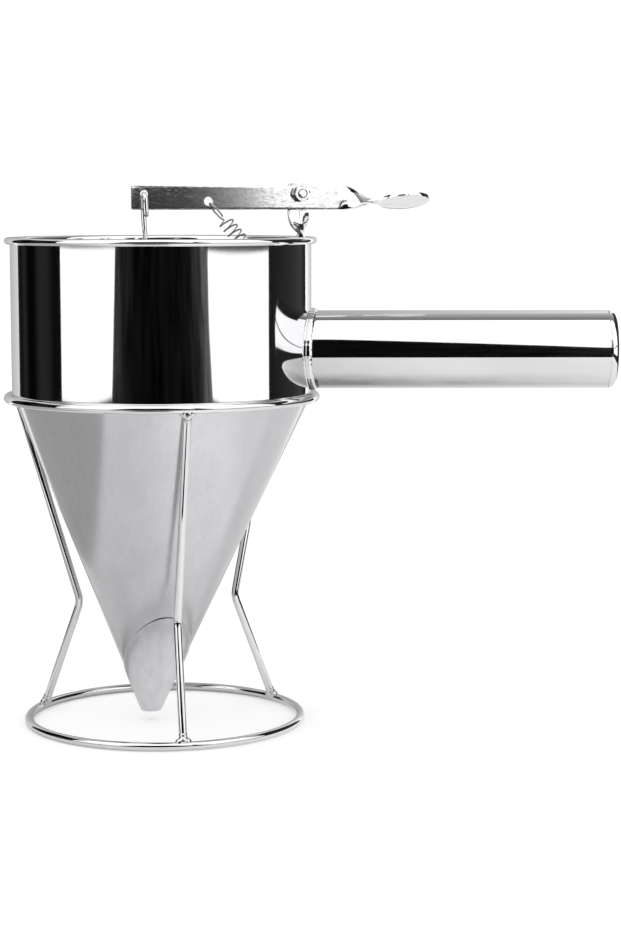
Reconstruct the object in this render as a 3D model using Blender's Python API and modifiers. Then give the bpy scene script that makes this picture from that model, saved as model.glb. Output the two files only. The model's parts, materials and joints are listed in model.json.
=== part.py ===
"""Pancake batter dispenser: a steel funnel with a handle and a thumb lever, standing in a wire stand.

The lever turns on a bolt, lifts a wire rod and opens the plug at the bottom of the cone.
A coil spring pulls the lever back, and the whole funnel lifts out of the stand.
Metres, +Z up. X runs along the handle, Y away from the viewer, and the stand rests on Z = 0.
"""

import math

import bmesh
import bpy
from mathutils import Matrix, Vector

MM = 0.001
FULL_TURN = 2 * math.pi
QUARTER_TURN = math.pi / 2

# Clearances
GAP = 0.3 * MM
CUT_OVERRUN = 2.0 * MM
MERGE = 0.01 * MM

# Cup
CUP_RADIUS = 69.75 * MM
CUP_DEPTH = 71.0 * MM
SHEET = 0.6 * MM
RIM_BEAD_RADIUS = 1.6 * MM
CORNER_BEND_RADIUS = 5.0 * MM
CUP_LIP_DEPTH = 4.0 * MM

# Cone and nozzle
CONE_DEPTH = 150.9 * MM
TIP_RADIUS = 4.0 * MM
TIP_HEIGHT = 4.6 * MM
TIP_SET_OVER = -6.7 * MM
SLEEVE_SHEET = 0.4 * MM
SLEEVE_HEIGHT = 20.3 * MM
SLEEVE_FRONT_RISE = 30.0 * MM
SLEEVE_RIGHT_RISE = 9.3 * MM

# Handle
HANDLE_RADIUS = 18.2 * MM
HANDLE_WALL = 0.8 * MM
HANDLE_REACH = 211.8 * MM
HANDLE_WELD_RADIUS = 0.45 * MM
HANDLE_WELD_OVER_RING = 0.4 * MM
CAP_LENGTH = 4.0 * MM
CAP_CORNER = 3.2 * MM
CAP_DOME = 0.5 * MM
CAP_WALL = 1.0 * MM
CAP_SPIGOT_LENGTH = 7.0 * MM

# Lever
LEVER_AZIMUTH = math.radians(16.0)
LEVER_RISE = 19.6 * MM
LEVER_WIDTH = 11.0 * MM
LEVER_THICKNESS = 1.6 * MM
LEVER_TAIL = 6.0 * MM
LEVER_CORNER = 1.2 * MM
LEVER_FLAT_RUN = 18.5 * MM
LEVER_NECK_WIDTH = 7.5 * MM
PAD_RADIUS = 12.0 * MM
PAD_CENTRE_REACH = 51.7 * MM
PAD_DROP = 1.4 * MM
PAD_TWIST = math.radians(106.0)
ROD_HOLE_RADIUS = 1.9 * MM
ROD_HOLE_RISE = 1.6 * MM
SPRING_HOLE_RADIUS = 2.1 * MM
SPRING_HOLE_REACH = 28.1 * MM
SPRING_HOLE_DROP = 1.6 * MM

# Pivot fasteners, an M4 bolt with its nut
BOLT_RADIUS = 1.85 * MM
BOLT_HEAD_RADIUS = 3.8 * MM
BOLT_HEAD_HEIGHT = 2.4 * MM
BOLT_HEAD_ROUND = 0.8 * MM
BOLT_END_LENGTH = 1.6 * MM
BOLT_END_CHAMFER = 0.4 * MM
NUT_CORNER_RADIUS = 4.04 * MM
NUT_HEIGHT = 3.2 * MM
NUT_CHAMFER = 0.4 * MM
WASHER_RADIUS = 4.0 * MM
WASHER_THICKNESS = 0.8 * MM
PIVOT_RISE = 1.9 * MM

# Bracket that carries the pivot
BRACKET_WIDTH = 10.2 * MM
BRACKET_THICKNESS = 1.5 * MM
BRACKET_TOP_RISE = 5.0 * MM
BRACKET_TOP_ROUND = 2.2 * MM
BRACKET_JOG = 1.3 * MM
BRACKET_FLAT_DROP = 6.5 * MM
BRACKET_FOOT_DEPTH = 20.0 * MM

# Stopper rod and plug
ROD_RADIUS = 1.2 * MM
ROD_SET_BACK = 3.0 * MM
ROD_SET_OVER = 2.3 * MM
ROD_SLANT_DROP = 45.0 * MM
ROD_BEND_RADIUS = 2.2 * MM
ROD_HOOK_DROP = 9.2 * MM
PLUG_RADIUS = 8.0 * MM
PLUG_NECK_RADIUS = 2.6 * MM
PLUG_NECK_HEIGHT = 9.0 * MM
PLUG_SOCKET_DEPTH = 5.0 * MM

# Return spring and the lug that holds its lower hook
SPRING_WIRE_RADIUS = 0.45 * MM
SPRING_COIL_RADIUS = 3.3 * MM
SPRING_PITCH = 3.0 * MM
SPRING_HOOK_RADIUS = 4.9 * MM
SPRING_HOOK_CLEARANCE = 0.4 * MM
LUG_DROP = 28.2 * MM
LUG_REACH = 7.0 * MM
LUG_HEIGHT = 10.0 * MM
LUG_THICKNESS = 1.2 * MM
LUG_HOLE_RADIUS = 2.0 * MM

# Stand
WIRE_RADIUS = 2.0 * MM
RING_GRIP = 0.15 * MM
BASE_RING_RADIUS = 64.2 * MM
LEG_BEND_RADIUS_FROM_AXIS = 43.0 * MM
LEG_BEND_HEIGHT = 54.5 * MM
LEG_BEND_ROUND = 9.0 * MM
LEG_WIRE_RADIUS = 1.9 * MM
# Where each leg's foot stands round the axis, and how far round its head is turned from there
LEG_PLACES = {
    "stand_leg_front": (math.radians(-78.8), math.radians(1.7)),
    "stand_leg_right": (math.radians(38.6), math.radians(7.5)),
    "stand_leg_left": (math.radians(159.0), math.radians(9.5)),
}

# Counts of steps and points
SHELL_STEPS = 60
HANDLE_STEPS = 44
SMALL_STEPS = 24
RING_STEPS = 64
RING_SIDES = 8
BEND_STEPS = 4
BEAD_STEPS = 8
BALL_STEPS = 9
WELD_POINTS = 48
TWIST_STEPS = 12
PAD_STEPS = 12
STRIP_CELLS = 4
HOOK_POINTS = 14
CROSS_POINTS = 5
COIL_POINTS = 10
HEX_SIDES = 6

# How much of a turn each spring hook makes
HOOK_TURN_SHARE = 0.82
# Place of the last pad station, as a share of half a turn round the pad
PAD_END_SHARE = 0.96
# How far the bracket's rounded top corner has come at its middle station
ROUND_MIDDLE_SHARE = 0.3
# Half a cell, from a section's middle to its flat
HALF_SHARE = 0.5
# How much of a leg's turn its bend has made
LEG_BEND_TURN_SHARE = 0.4
# Power that keeps the bracket broad at first and lets it turn near the rim
BRACKET_TWIST_POWER = 2.2

# Sizes that follow from the ones above
CORNER_HEIGHT = TIP_HEIGHT + CONE_DEPTH
RIM_HEIGHT = CORNER_HEIGHT + CUP_DEPTH
CONE_SLOPE = (CUP_RADIUS - TIP_RADIUS) / CONE_DEPTH
CONE_ANGLE = math.atan(CONE_SLOPE)
CUP_INNER_RADIUS = CUP_RADIUS - SHEET
LIP_HEIGHT = CORNER_HEIGHT - CUP_LIP_DEPTH
CONE_TOP_HEIGHT = LIP_HEIGHT - GAP
LEVER_HEIGHT = RIM_HEIGHT + LEVER_RISE
TOP_RING_RADIUS = CUP_RADIUS + WIRE_RADIUS - RING_GRIP
PLUG_CONTACT = (PLUG_RADIUS + GAP) / math.cos(CONE_ANGLE)


def cone_radius(height):
    """Outer radius of the cone at a height."""
    return TIP_RADIUS + CONE_SLOPE * (height - TIP_HEIGHT)


def cone_axis_x(height):
    """The cone is a little oblique: its axis runs from the cup's axis to the nozzle's."""
    share = (CONE_TOP_HEIGHT - height) / (CONE_TOP_HEIGHT - TIP_HEIGHT)
    return TIP_SET_OVER * share


SHEET_ACROSS = SHEET / math.cos(CONE_ANGLE)
TOP_RING_HEIGHT = CORNER_HEIGHT - (
    CUP_RADIUS - TOP_RING_RADIUS + (WIRE_RADIUS + GAP) / math.cos(CONE_ANGLE)
) / CONE_SLOPE
HANDLE_WELD_LOW = TOP_RING_HEIGHT + WIRE_RADIUS + HANDLE_WELD_OVER_RING
HANDLE_HEIGHT = HANDLE_WELD_LOW + 2 * HANDLE_WELD_RADIUS + GAP + HANDLE_RADIUS
PLUG_HEIGHT = TIP_HEIGHT + (PLUG_CONTACT + SHEET_ACROSS - TIP_RADIUS) / CONE_SLOPE
ROD_X = cone_axis_x(PLUG_HEIGHT)
ROD_HOLE_HEIGHT = LEVER_HEIGHT + ROD_HOLE_RISE
PIVOT_HEIGHT = LEVER_HEIGHT + PIVOT_RISE

# The lever line starts over the plug and runs to the pivot. The cup's axis, seen from there:
AXIS_ALONG = -ROD_X * math.cos(LEVER_AZIMUTH)
AXIS_ACROSS = ROD_X * math.sin(LEVER_AZIMUTH)
LEVER_ACROSS = -ROD_SET_BACK
BRACKET_ACROSS = (
    LEVER_ACROSS + LEVER_THICKNESS / 2 + WASHER_THICKNESS + 2 * GAP + BRACKET_THICKNESS / 2
)
BRACKET_REACH = math.sqrt(
    (CUP_INNER_RADIUS - GAP) ** 2 - (abs(BRACKET_ACROSS - AXIS_ACROSS) + BRACKET_WIDTH / 2) ** 2
)
BRACKET_FOOT_ALONG = AXIS_ALONG + BRACKET_REACH - BRACKET_THICKNESS / 2
PIVOT_ALONG = BRACKET_FOOT_ALONG - BRACKET_JOG
LUG_WALL_ALONG = AXIS_ALONG + math.sqrt(
    (CUP_INNER_RADIUS - GAP) ** 2 - (abs(LEVER_ACROSS - AXIS_ACROSS) + LUG_THICKNESS / 2) ** 2
)
LUG_HOLE_ALONG = LUG_WALL_ALONG - LUG_REACH
LUG_HOLE_HEIGHT = RIM_HEIGHT - LUG_DROP

# The whole part is centred on X = 0
LEFT_REACH = max(TOP_RING_RADIUS + WIRE_RADIUS, CUP_RADIUS + 2 * RIM_BEAD_RADIUS - SHEET)
CENTRE_OFFSET = (HANDLE_REACH - LEFT_REACH) / 2


def clear_scene():
    """Remove what the scene holds."""
    for item in list(bpy.data.objects):
        bpy.data.objects.remove(item, do_unlink=True)


def make_collection(name):
    """A collection linked to the scene."""
    collection = bpy.data.collections.new(name)
    bpy.context.scene.collection.children.link(collection)
    return collection


def make_material(name, colour, roughness, metallic):
    """A Principled BSDF material."""
    material = bpy.data.materials.new(name)
    material.use_nodes = True
    shader = material.node_tree.nodes["Principled BSDF"]
    shader.inputs["Base Color"].default_value = (*colour, 1.0)
    shader.inputs["Roughness"].default_value = roughness
    shader.inputs["Metallic"].default_value = metallic
    material.diffuse_color = (*colour, 1.0)
    return material


def make_empty(name, location, turn, parent):
    """An empty that carries other pieces."""
    empty = bpy.data.objects.new(name, None)
    empty.location = location
    empty.rotation_euler = (0, 0, turn)
    empty.parent = parent
    PARTS.objects.link(empty)
    return empty


def place(item, parent, location=(0, 0, 0), rotation=(0, 0, 0)):
    """Set an object under its parent."""
    item.parent = parent
    item.location = location
    item.rotation_euler = rotation
    return item


def mesh_object(name, work, material, collection=None):
    """An object from a bmesh."""
    mesh = bpy.data.meshes.new(name)
    work.to_mesh(mesh)
    work.free()
    if material:
        mesh.materials.append(material)
    if mesh.polygons:
        mesh.shade_smooth()
        mesh.set_sharp_from_angle(angle=math.radians(30.0))
    item = bpy.data.objects.new(name, mesh)
    (collection or PARTS).objects.link(item)
    return item


def make_cutter(item):
    """Mark an object as a cutter."""
    item.hide_render = True
    item.display_type = "WIRE"
    return item


def cut(item, cutter):
    """Take a cutter's volume out of an object."""
    modifier = item.modifiers.new("cut_" + cutter.name, "BOOLEAN")
    modifier.operation = "DIFFERENCE"
    modifier.object = cutter


def arc(centre, radius, start, end, steps):
    """Points of an arc in the profile plane, given as (radius from axis, height)."""
    points = []
    for step in range(steps + 1):
        angle = start + (end - start) * step / steps
        points.append((centre[0] + radius * math.cos(angle), centre[1] + radius * math.sin(angle)))
    return points


def turned(name, profile, steps, material, collection=None):
    """A closed profile turned round the object's Z axis. It runs down its outer side."""
    work = bmesh.new()
    corners = [work.verts.new((radius, 0, height)) for radius, height in profile]
    for first, second in zip(corners, corners[1:]):
        work.edges.new((first, second))
    if profile[0][0] > 0 or profile[-1][0] > 0:
        work.edges.new((corners[-1], corners[0]))
    item = mesh_object(name, work, material, collection)
    screw = item.modifiers.new("turn", "SCREW")
    screw.angle = FULL_TURN
    screw.steps = steps
    screw.render_steps = steps
    screw.use_merge_vertices = True
    screw.merge_threshold = MERGE
    weld = item.modifiers.new("weld", "WELD")
    weld.merge_threshold = MERGE
    return item


def wire(name, points, radius, material, resolution, cyclic=False):
    """A round wire along a list of points."""
    curve = bpy.data.curves.new(name, "CURVE")
    curve.dimensions = "3D"
    curve.bevel_depth = radius
    curve.bevel_resolution = resolution
    curve.use_fill_caps = not cyclic
    spline = curve.splines.new("POLY")
    spline.points.add(len(points) - 1)
    for knot, point in zip(spline.points, points):
        knot.co = (*point, 1)
    spline.use_cyclic_u = cyclic
    spline.use_smooth = True
    curve.materials.append(material)
    item = bpy.data.objects.new(name, curve)
    PARTS.objects.link(item)
    return item


def cylinder(name, radius, length, steps, material, collection):
    """A capped cylinder centred on its own origin, along its Z axis."""
    work = bmesh.new()
    bmesh.ops.create_cone(
        work, cap_ends=True, segments=steps, radius1=radius, radius2=radius, depth=length
    )
    return mesh_object(name, work, material, collection)


def ribbon(name, stations, thickness, material):
    """A twisted strip from stations of (centre, width direction, half width), as one plate."""
    work = bmesh.new()
    last = len(stations) - 1
    bmesh.ops.create_grid(work, x_segments=last, y_segments=STRIP_CELLS, size=1)
    for vertex in work.verts:
        centre, direction, half_width = stations[round((vertex.co.x + 1) / 2 * last)]
        vertex.co = centre + direction * (half_width * vertex.co.y)
    item = mesh_object(name, work, material)
    plate = item.modifiers.new("plate", "SOLIDIFY")
    plate.thickness = thickness
    plate.offset = 0
    return item


def smooth_step(share):
    """Runs from 0 to 1 with flat ends."""
    return share * share * (3 - 2 * share)


def build_cup():
    """The cup with its rolled rim and the bend that starts the cone."""
    bead_centre = (CUP_RADIUS - SHEET + RIM_BEAD_RADIUS, RIM_HEIGHT)
    under = -math.acos((CUP_RADIUS - bead_centre[0]) / RIM_BEAD_RADIUS)
    bend_half = CORNER_BEND_RADIUS * math.tan(CONE_ANGLE / 2)
    outer_bend = (CUP_RADIUS - CORNER_BEND_RADIUS, CORNER_HEIGHT + bend_half)
    inner_bend_radius = CORNER_BEND_RADIUS - SHEET
    profile = arc(bead_centre, RIM_BEAD_RADIUS, math.pi, under, BEAD_STEPS)
    profile += arc(outer_bend, CORNER_BEND_RADIUS, 0, -CONE_ANGLE, BEND_STEPS)
    profile.append((cone_radius(LIP_HEIGHT), LIP_HEIGHT))
    profile.append((cone_radius(LIP_HEIGHT) - SHEET_ACROSS, LIP_HEIGHT))
    profile += arc(outer_bend, inner_bend_radius, -CONE_ANGLE, 0, BEND_STEPS)
    cup = turned("cup_shell", profile, SHELL_STEPS, MIRROR_STEEL)
    return place(cup, AXIS)


def oblique(item, top_height):
    """Lean a turned cone so that its axis ends over the nozzle."""
    lean = TIP_SET_OVER / (CONE_TOP_HEIGHT - TIP_HEIGHT)
    shear = Matrix.Identity(4)
    shear[0][2] = -lean
    shear[0][3] = lean * top_height
    modifiers = bpy.context.evaluated_depsgraph_get()
    mesh = bpy.data.meshes.new_from_object(item.evaluated_get(modifiers))
    mesh.transform(shear)
    item.modifiers.clear()
    item.data = mesh
    return item


def build_cone():
    """The cone below the cup, down to the open nozzle."""
    top = cone_radius(CONE_TOP_HEIGHT)
    profile = [
        (top, CONE_TOP_HEIGHT),
        (TIP_RADIUS, TIP_HEIGHT),
        (TIP_RADIUS - SHEET_ACROSS, TIP_HEIGHT),
        (top - SHEET_ACROSS, CONE_TOP_HEIGHT),
    ]
    cone = turned("cone", profile, SHELL_STEPS, SATIN_STEEL)
    return place(oblique(cone, CONE_TOP_HEIGHT), AXIS)


def build_sleeve():
    """The sleeve round the nozzle, cut on a slant that is highest at the front."""
    across = (SLEEVE_SHEET + GAP) / math.cos(CONE_ANGLE)
    low = TIP_HEIGHT
    high = low + SLEEVE_HEIGHT + SLEEVE_FRONT_RISE + SLEEVE_RIGHT_RISE
    inner = GAP / math.cos(CONE_ANGLE)
    profile = [
        (cone_radius(high) + across, high),
        (cone_radius(low) + across, low),
        (cone_radius(low) + inner, low),
        (cone_radius(high) + inner, high),
    ]
    sleeve = turned("nozzle_sleeve", profile, HANDLE_STEPS, SATIN_STEEL)
    place(oblique(sleeve, CONE_TOP_HEIGHT), AXIS)
    reach = cone_radius(high) + across
    block = 2 * (reach + high)
    work = bmesh.new()
    bmesh.ops.create_cube(work, size=block)
    bmesh.ops.translate(work, verts=work.verts, vec=(0, 0, block / 2))
    cutter = make_cutter(mesh_object("sleeve_cutter", work, None, CUTTERS))
    front_slant = math.atan(SLEEVE_FRONT_RISE / reach)
    right_slant = math.atan(SLEEVE_RIGHT_RISE / reach)
    middle = (TIP_SET_OVER, 0, low + SLEEVE_HEIGHT)
    place(cutter, AXIS, middle, (-front_slant, -right_slant, 0))
    cut(sleeve, cutter)
    return sleeve


def build_handle():
    """The tube handle, coped to the cup's wall, its weld bead and its end cap."""
    seam = HANDLE_REACH - CAP_LENGTH - GAP
    inner = HANDLE_RADIUS - HANDLE_WALL
    profile = [(HANDLE_RADIUS, seam), (HANDLE_RADIUS, 0), (inner, 0), (inner, seam)]
    tube = turned("handle_tube", profile, HANDLE_STEPS, MIRROR_STEEL)
    place(tube, AXIS, (0, 0, HANDLE_HEIGHT), (0, QUARTER_TURN, 0))
    coping = cylinder(
        "handle_coping",
        CUP_RADIUS + GAP,
        2 * (HANDLE_RADIUS + CUT_OVERRUN),
        2 * SHELL_STEPS,
        None,
        CUTTERS,
    )
    place(make_cutter(coping), AXIS, (0, 0, HANDLE_HEIGHT))
    cut(tube, coping)

    around_tube = HANDLE_RADIUS + HANDLE_WELD_RADIUS + GAP
    around_cup = CUP_RADIUS + HANDLE_WELD_RADIUS + GAP
    points = []
    for step in range(WELD_POINTS):
        angle = FULL_TURN * step / WELD_POINTS
        across = around_tube * math.cos(angle)
        out = math.sqrt(around_cup ** 2 - across ** 2)
        points.append((out, across, around_tube * math.sin(angle)))
    weld = wire("handle_weld", points, HANDLE_WELD_RADIUS, MIRROR_STEEL, 1, cyclic=True)
    place(weld, AXIS, (0, 0, HANDLE_HEIGHT))

    spigot = inner - GAP
    start = HANDLE_REACH - CAP_LENGTH
    flat = HANDLE_REACH - CAP_DOME
    corner = arc(
        (HANDLE_RADIUS - CAP_CORNER, flat - CAP_CORNER), CAP_CORNER, QUARTER_TURN, 0, BEND_STEPS
    )
    profile = [(0, HANDLE_REACH)] + corner
    profile += [
        (HANDLE_RADIUS, start),
        (spigot, start),
        (spigot, start - CAP_SPIGOT_LENGTH),
        (spigot - CAP_WALL, start - CAP_SPIGOT_LENGTH),
        (spigot - CAP_WALL, flat - CAP_WALL - CAP_CORNER),
        (spigot - CAP_CORNER, flat - CAP_WALL),
        (0, flat - CAP_WALL),
    ]
    cap = turned("handle_end_cap", profile, HANDLE_STEPS, MIRROR_STEEL)
    place(cap, AXIS, (0, 0, HANDLE_HEIGHT), (0, QUARTER_TURN, 0))


def lever_stations():
    """Stations of the lever along its length, from its tail to the end of the thumb pad.

    The origin is the pivot. The plate stands upright at the tail and turns over before the pad.
    """
    stations = []
    upright = Vector((0, 0, 1))

    def add(along, half_width, twist, drop):
        turn = Matrix.Rotation(-twist, 3, "X")
        centre = Vector((along, 0, -PIVOT_RISE - drop))
        stations.append((centre, turn @ upright, half_width))

    tail = -PIVOT_ALONG - ROD_SET_OVER - LEVER_TAIL
    half = LEVER_WIDTH / 2
    neck = LEVER_NECK_WIDTH / 2
    add(tail, half - LEVER_CORNER, 0, 0)
    add(tail + LEVER_CORNER, half, 0, 0)
    add(0, half, 0, 0)
    pad_first = math.asin(neck / PAD_RADIUS)
    pad_start = PAD_CENTRE_REACH - PAD_RADIUS * math.cos(pad_first)
    for step in range(TWIST_STEPS + 1):
        share = step / TWIST_STEPS
        eased = smooth_step(share)
        along = LEVER_FLAT_RUN + (pad_start - LEVER_FLAT_RUN) * share
        add(along, half + (neck - half) * eased, PAD_TWIST * eased, PAD_DROP * eased)
    for step in range(1, PAD_STEPS + 1):
        angle = pad_first + (math.pi * PAD_END_SHARE - pad_first) * step / PAD_STEPS
        along = PAD_CENTRE_REACH - PAD_RADIUS * math.cos(angle)
        add(along, PAD_RADIUS * math.sin(angle), PAD_TWIST, PAD_DROP)
    return stations


def hole_cutter(name, radius, thickness, parent, place_at):
    """A round cutter that runs through a plate along Y."""
    item = cylinder(name, radius, thickness + 2 * CUT_OVERRUN, SMALL_STEPS, None, CUTTERS)
    return place(make_cutter(item), parent, place_at, (QUARTER_TURN, 0, 0))


def build_lever():
    """The lever, one bar turned over into a thumb pad, with its three holes."""
    lever = place(ribbon("lever", lever_stations(), LEVER_THICKNESS, BRUSHED_STEEL), PIVOT)
    holes = (
        (
            "lever_rod_hole",
            ROD_HOLE_RADIUS,
            -PIVOT_ALONG - ROD_SET_OVER,
            ROD_HOLE_RISE - PIVOT_RISE,
        ),
        (
            "lever_spring_hole",
            SPRING_HOLE_RADIUS,
            SPRING_HOLE_REACH - PIVOT_ALONG,
            -SPRING_HOLE_DROP - PIVOT_RISE,
        ),
        ("lever_pivot_hole", BOLT_RADIUS + GAP, 0, 0),
    )
    for name, radius, along, rise in holes:
        cut(lever, hole_cutter(name, radius, LEVER_THICKNESS, PIVOT, (along, 0, rise)))


def build_bracket():
    """The strip that stands up inside the cup, turns a quarter and carries the pivot."""
    across = BRACKET_ACROSS - LEVER_ACROSS
    half = BRACKET_WIDTH / 2
    top = BRACKET_TOP_RISE
    twist_top = -BRACKET_FLAT_DROP
    twist_bottom = RIM_HEIGHT + RIM_BEAD_RADIUS + GAP - PIVOT_HEIGHT
    foot = twist_bottom - BRACKET_FOOT_DEPTH
    stations = []

    def add(rise, half_width, share):
        turn = Matrix.Rotation(QUARTER_TURN * share, 3, "Z")
        centre = Vector((BRACKET_JOG * share, across, rise))
        stations.append((centre, turn @ Vector((1, 0, 0)), half_width))

    add(top, half - BRACKET_TOP_ROUND, 0)
    corner_middle = BRACKET_TOP_ROUND * ROUND_MIDDLE_SHARE
    add(top - corner_middle, half - corner_middle, 0)
    add(top - BRACKET_TOP_ROUND, half, 0)
    for step in range(TWIST_STEPS + 1):
        share = step / TWIST_STEPS
        add(twist_top + (twist_bottom - twist_top) * share, half, share ** BRACKET_TWIST_POWER)
    add(foot, half, 1)
    bracket = place(ribbon("lever_bracket", stations, BRACKET_THICKNESS, BRUSHED_STEEL), PIVOT)
    hole_at = (0, across, 0)
    cut(bracket, hole_cutter("bracket_hole", BOLT_RADIUS + GAP, BRACKET_THICKNESS, PIVOT, hole_at))


def build_pivot():
    """The bolt that the lever turns on, with two washers and a nut. It points at the viewer."""
    towards_viewer = (QUARTER_TURN, 0, 0)
    back = -(BRACKET_ACROSS - LEVER_ACROSS + BRACKET_THICKNESS / 2 + GAP)
    front_washer = LEVER_THICKNESS / 2 + GAP
    nut_start = front_washer + WASHER_THICKNESS + GAP
    end = nut_start + NUT_HEIGHT + BOLT_END_LENGTH
    head = back - BOLT_HEAD_HEIGHT
    profile = [
        (0, end),
        (BOLT_RADIUS - BOLT_END_CHAMFER, end),
        (BOLT_RADIUS, end - BOLT_END_CHAMFER),
        (BOLT_RADIUS, back),
        (BOLT_HEAD_RADIUS, back),
        (BOLT_HEAD_RADIUS, head + BOLT_HEAD_ROUND),
        (BOLT_HEAD_RADIUS - BOLT_HEAD_ROUND, head),
        (0, head),
    ]
    place(turned("pivot_bolt", profile, SMALL_STEPS, PLATED_STEEL), PIVOT, (0, 0, 0), towards_viewer)

    bore = BOLT_RADIUS + GAP
    washer_profile = [
        (WASHER_RADIUS, WASHER_THICKNESS),
        (WASHER_RADIUS, 0),
        (bore, 0),
        (bore, WASHER_THICKNESS),
    ]
    back_washer = -(LEVER_THICKNESS / 2 + GAP + WASHER_THICKNESS)
    for name, start in (("washer_front", front_washer), ("washer_back", back_washer)):
        washer = turned(name, washer_profile, SMALL_STEPS, PLATED_STEEL)
        place(washer, PIVOT, (0, -start, 0), towards_viewer)

    work = bmesh.new()
    bmesh.ops.create_cone(
        work,
        cap_ends=True,
        segments=HEX_SIDES,
        radius1=NUT_CORNER_RADIUS,
        radius2=NUT_CORNER_RADIUS,
        depth=NUT_HEIGHT,
    )
    bmesh.ops.bevel(
        work,
        geom=[edge for edge in work.edges if abs(edge.verts[0].co.z - edge.verts[1].co.z) < MERGE],
        offset=NUT_CHAMFER,
        segments=1,
        affect="EDGES",
        profile=0.5,
        material=-1,
    )
    nut = mesh_object("pivot_nut", work, PLATED_STEEL)
    place(nut, PIVOT, (0, -nut_start - NUT_HEIGHT / 2, 0), towards_viewer)
    nut_at = (0, -nut_start - NUT_HEIGHT / 2, 0)
    cut(nut, hole_cutter("nut_bore", bore, NUT_HEIGHT, PIVOT, nut_at))


def build_rod():
    """The wire rod. It hooks through the lever from behind, slants in and hangs to the plug."""
    bend = ROD_BEND_RADIUS
    socket_top = PLUG_HEIGHT + PLUG_NECK_HEIGHT
    foot = socket_top - PLUG_SOCKET_DEPTH + GAP - ROD_HOLE_HEIGHT
    back = ROD_SET_BACK
    over = ROD_SET_OVER
    points = [(over, back, foot), (over, back, foot / 2), (over, back, -ROD_SLANT_DROP)]
    for step in range(BEND_STEPS + 1):
        angle = QUARTER_TURN * step / BEND_STEPS
        points.append((0, back - bend + bend * math.cos(angle), bend * math.sin(angle) - bend))
    for step in range(BEND_STEPS + 1):
        angle = QUARTER_TURN * step / BEND_STEPS
        points.append((0, -back + bend - bend * math.sin(angle), bend * math.cos(angle) - bend))
    points.append((over * ROD_HOOK_DROP / ROD_SLANT_DROP, -back, -ROD_HOOK_DROP))
    place(wire("stopper_rod", points, ROD_RADIUS, MIRROR_STEEL, 2), ROD_HOLE)


def build_plug():
    """The ball-nosed plug that closes the nozzle, with a socket for the rod."""
    neck = PLUG_NECK_RADIUS
    top = PLUG_NECK_HEIGHT
    shoulder = math.acos(neck / PLUG_RADIUS)
    socket = ROD_RADIUS + GAP
    profile = [(neck, top)]
    profile += arc((0, 0), PLUG_RADIUS, shoulder, -QUARTER_TURN, BALL_STEPS)[:-1]
    profile.append((0, -PLUG_RADIUS))
    socket_profile = [(0, top - PLUG_SOCKET_DEPTH), (socket, top - PLUG_SOCKET_DEPTH), (socket, top)]
    plug = turned("stopper_plug", socket_profile + profile, SMALL_STEPS, SATIN_STEEL)
    place(plug, ROD_HOLE, (ROD_SET_OVER, ROD_SET_BACK, PLUG_HEIGHT - ROD_HOLE_HEIGHT))


def spring_points(start, end, across):
    """Points of the spring: a hook, a crossing to the coil, the coil, and the same at the end.

    start and end are where the hooks hold, and across is the direction through their plates.
    """
    axis = (end - start).normalized()
    side = axis.cross(across)
    hook = SPRING_HOOK_RADIUS
    cross_length = SPRING_PITCH / 2
    coil_length = (end - start).length - 2 * (2 * hook + cross_length)
    turns = max(1, round(coil_length / SPRING_PITCH))

    def hook_points(hold, along, through):
        centre = hold + along * hook
        points = []
        for step in range(HOOK_POINTS + 1):
            angle = math.pi - FULL_TURN * HOOK_TURN_SHARE * (1 - step / HOOK_POINTS)
            swing = through * math.sin(angle) - along * math.cos(angle)
            points.append(centre + swing * hook)
        tangent = (points[0] - points[1]).normalized()
        straight = points[0] + tangent * (2 * SPRING_WIRE_RADIUS)
        return [straight] + points

    def coil_point(distance, radius, angle):
        base = start + axis * distance
        return base + (across * math.cos(angle) + side * math.sin(angle)) * radius

    first = 2 * hook
    cross_turn = QUARTER_TURN
    points = hook_points(start, axis, across)
    begin = math.pi
    for step in range(1, CROSS_POINTS + 1):
        share = step / CROSS_POINTS
        radius = SPRING_COIL_RADIUS * math.sin(QUARTER_TURN * share)
        points.append(coil_point(first + cross_length * share, radius, begin + cross_turn * share))
    begin += cross_turn
    coil_start = first + cross_length
    count = turns * COIL_POINTS
    for step in range(1, count + 1):
        share = step / count
        angle = begin + FULL_TURN * turns * share
        points.append(coil_point(coil_start + coil_length * share, SPRING_COIL_RADIUS, angle))
    begin += FULL_TURN * turns
    coil_end = coil_start + coil_length
    for step in range(1, CROSS_POINTS):
        share = step / CROSS_POINTS
        radius = SPRING_COIL_RADIUS * math.cos(QUARTER_TURN * share)
        points.append(coil_point(coil_end + cross_length * share, radius, begin + cross_turn * share))
    points += reversed(hook_points(end, -axis, -across))
    return points


def least_gap(points, radius):
    """The least free distance between stretches of a tube that aren't neighbours along it."""
    lengths = [0]
    for first, second in zip(points, points[1:]):
        lengths.append(lengths[-1] + (second - first).length)
    apart = 4 * radius * math.pi / 2
    least = math.inf
    for low, first in enumerate(points):
        for high in range(low + 1, len(points)):
            if lengths[high] - lengths[low] > apart:
                least = min(least, (points[high] - first).length)
    return least - 2 * radius


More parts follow.
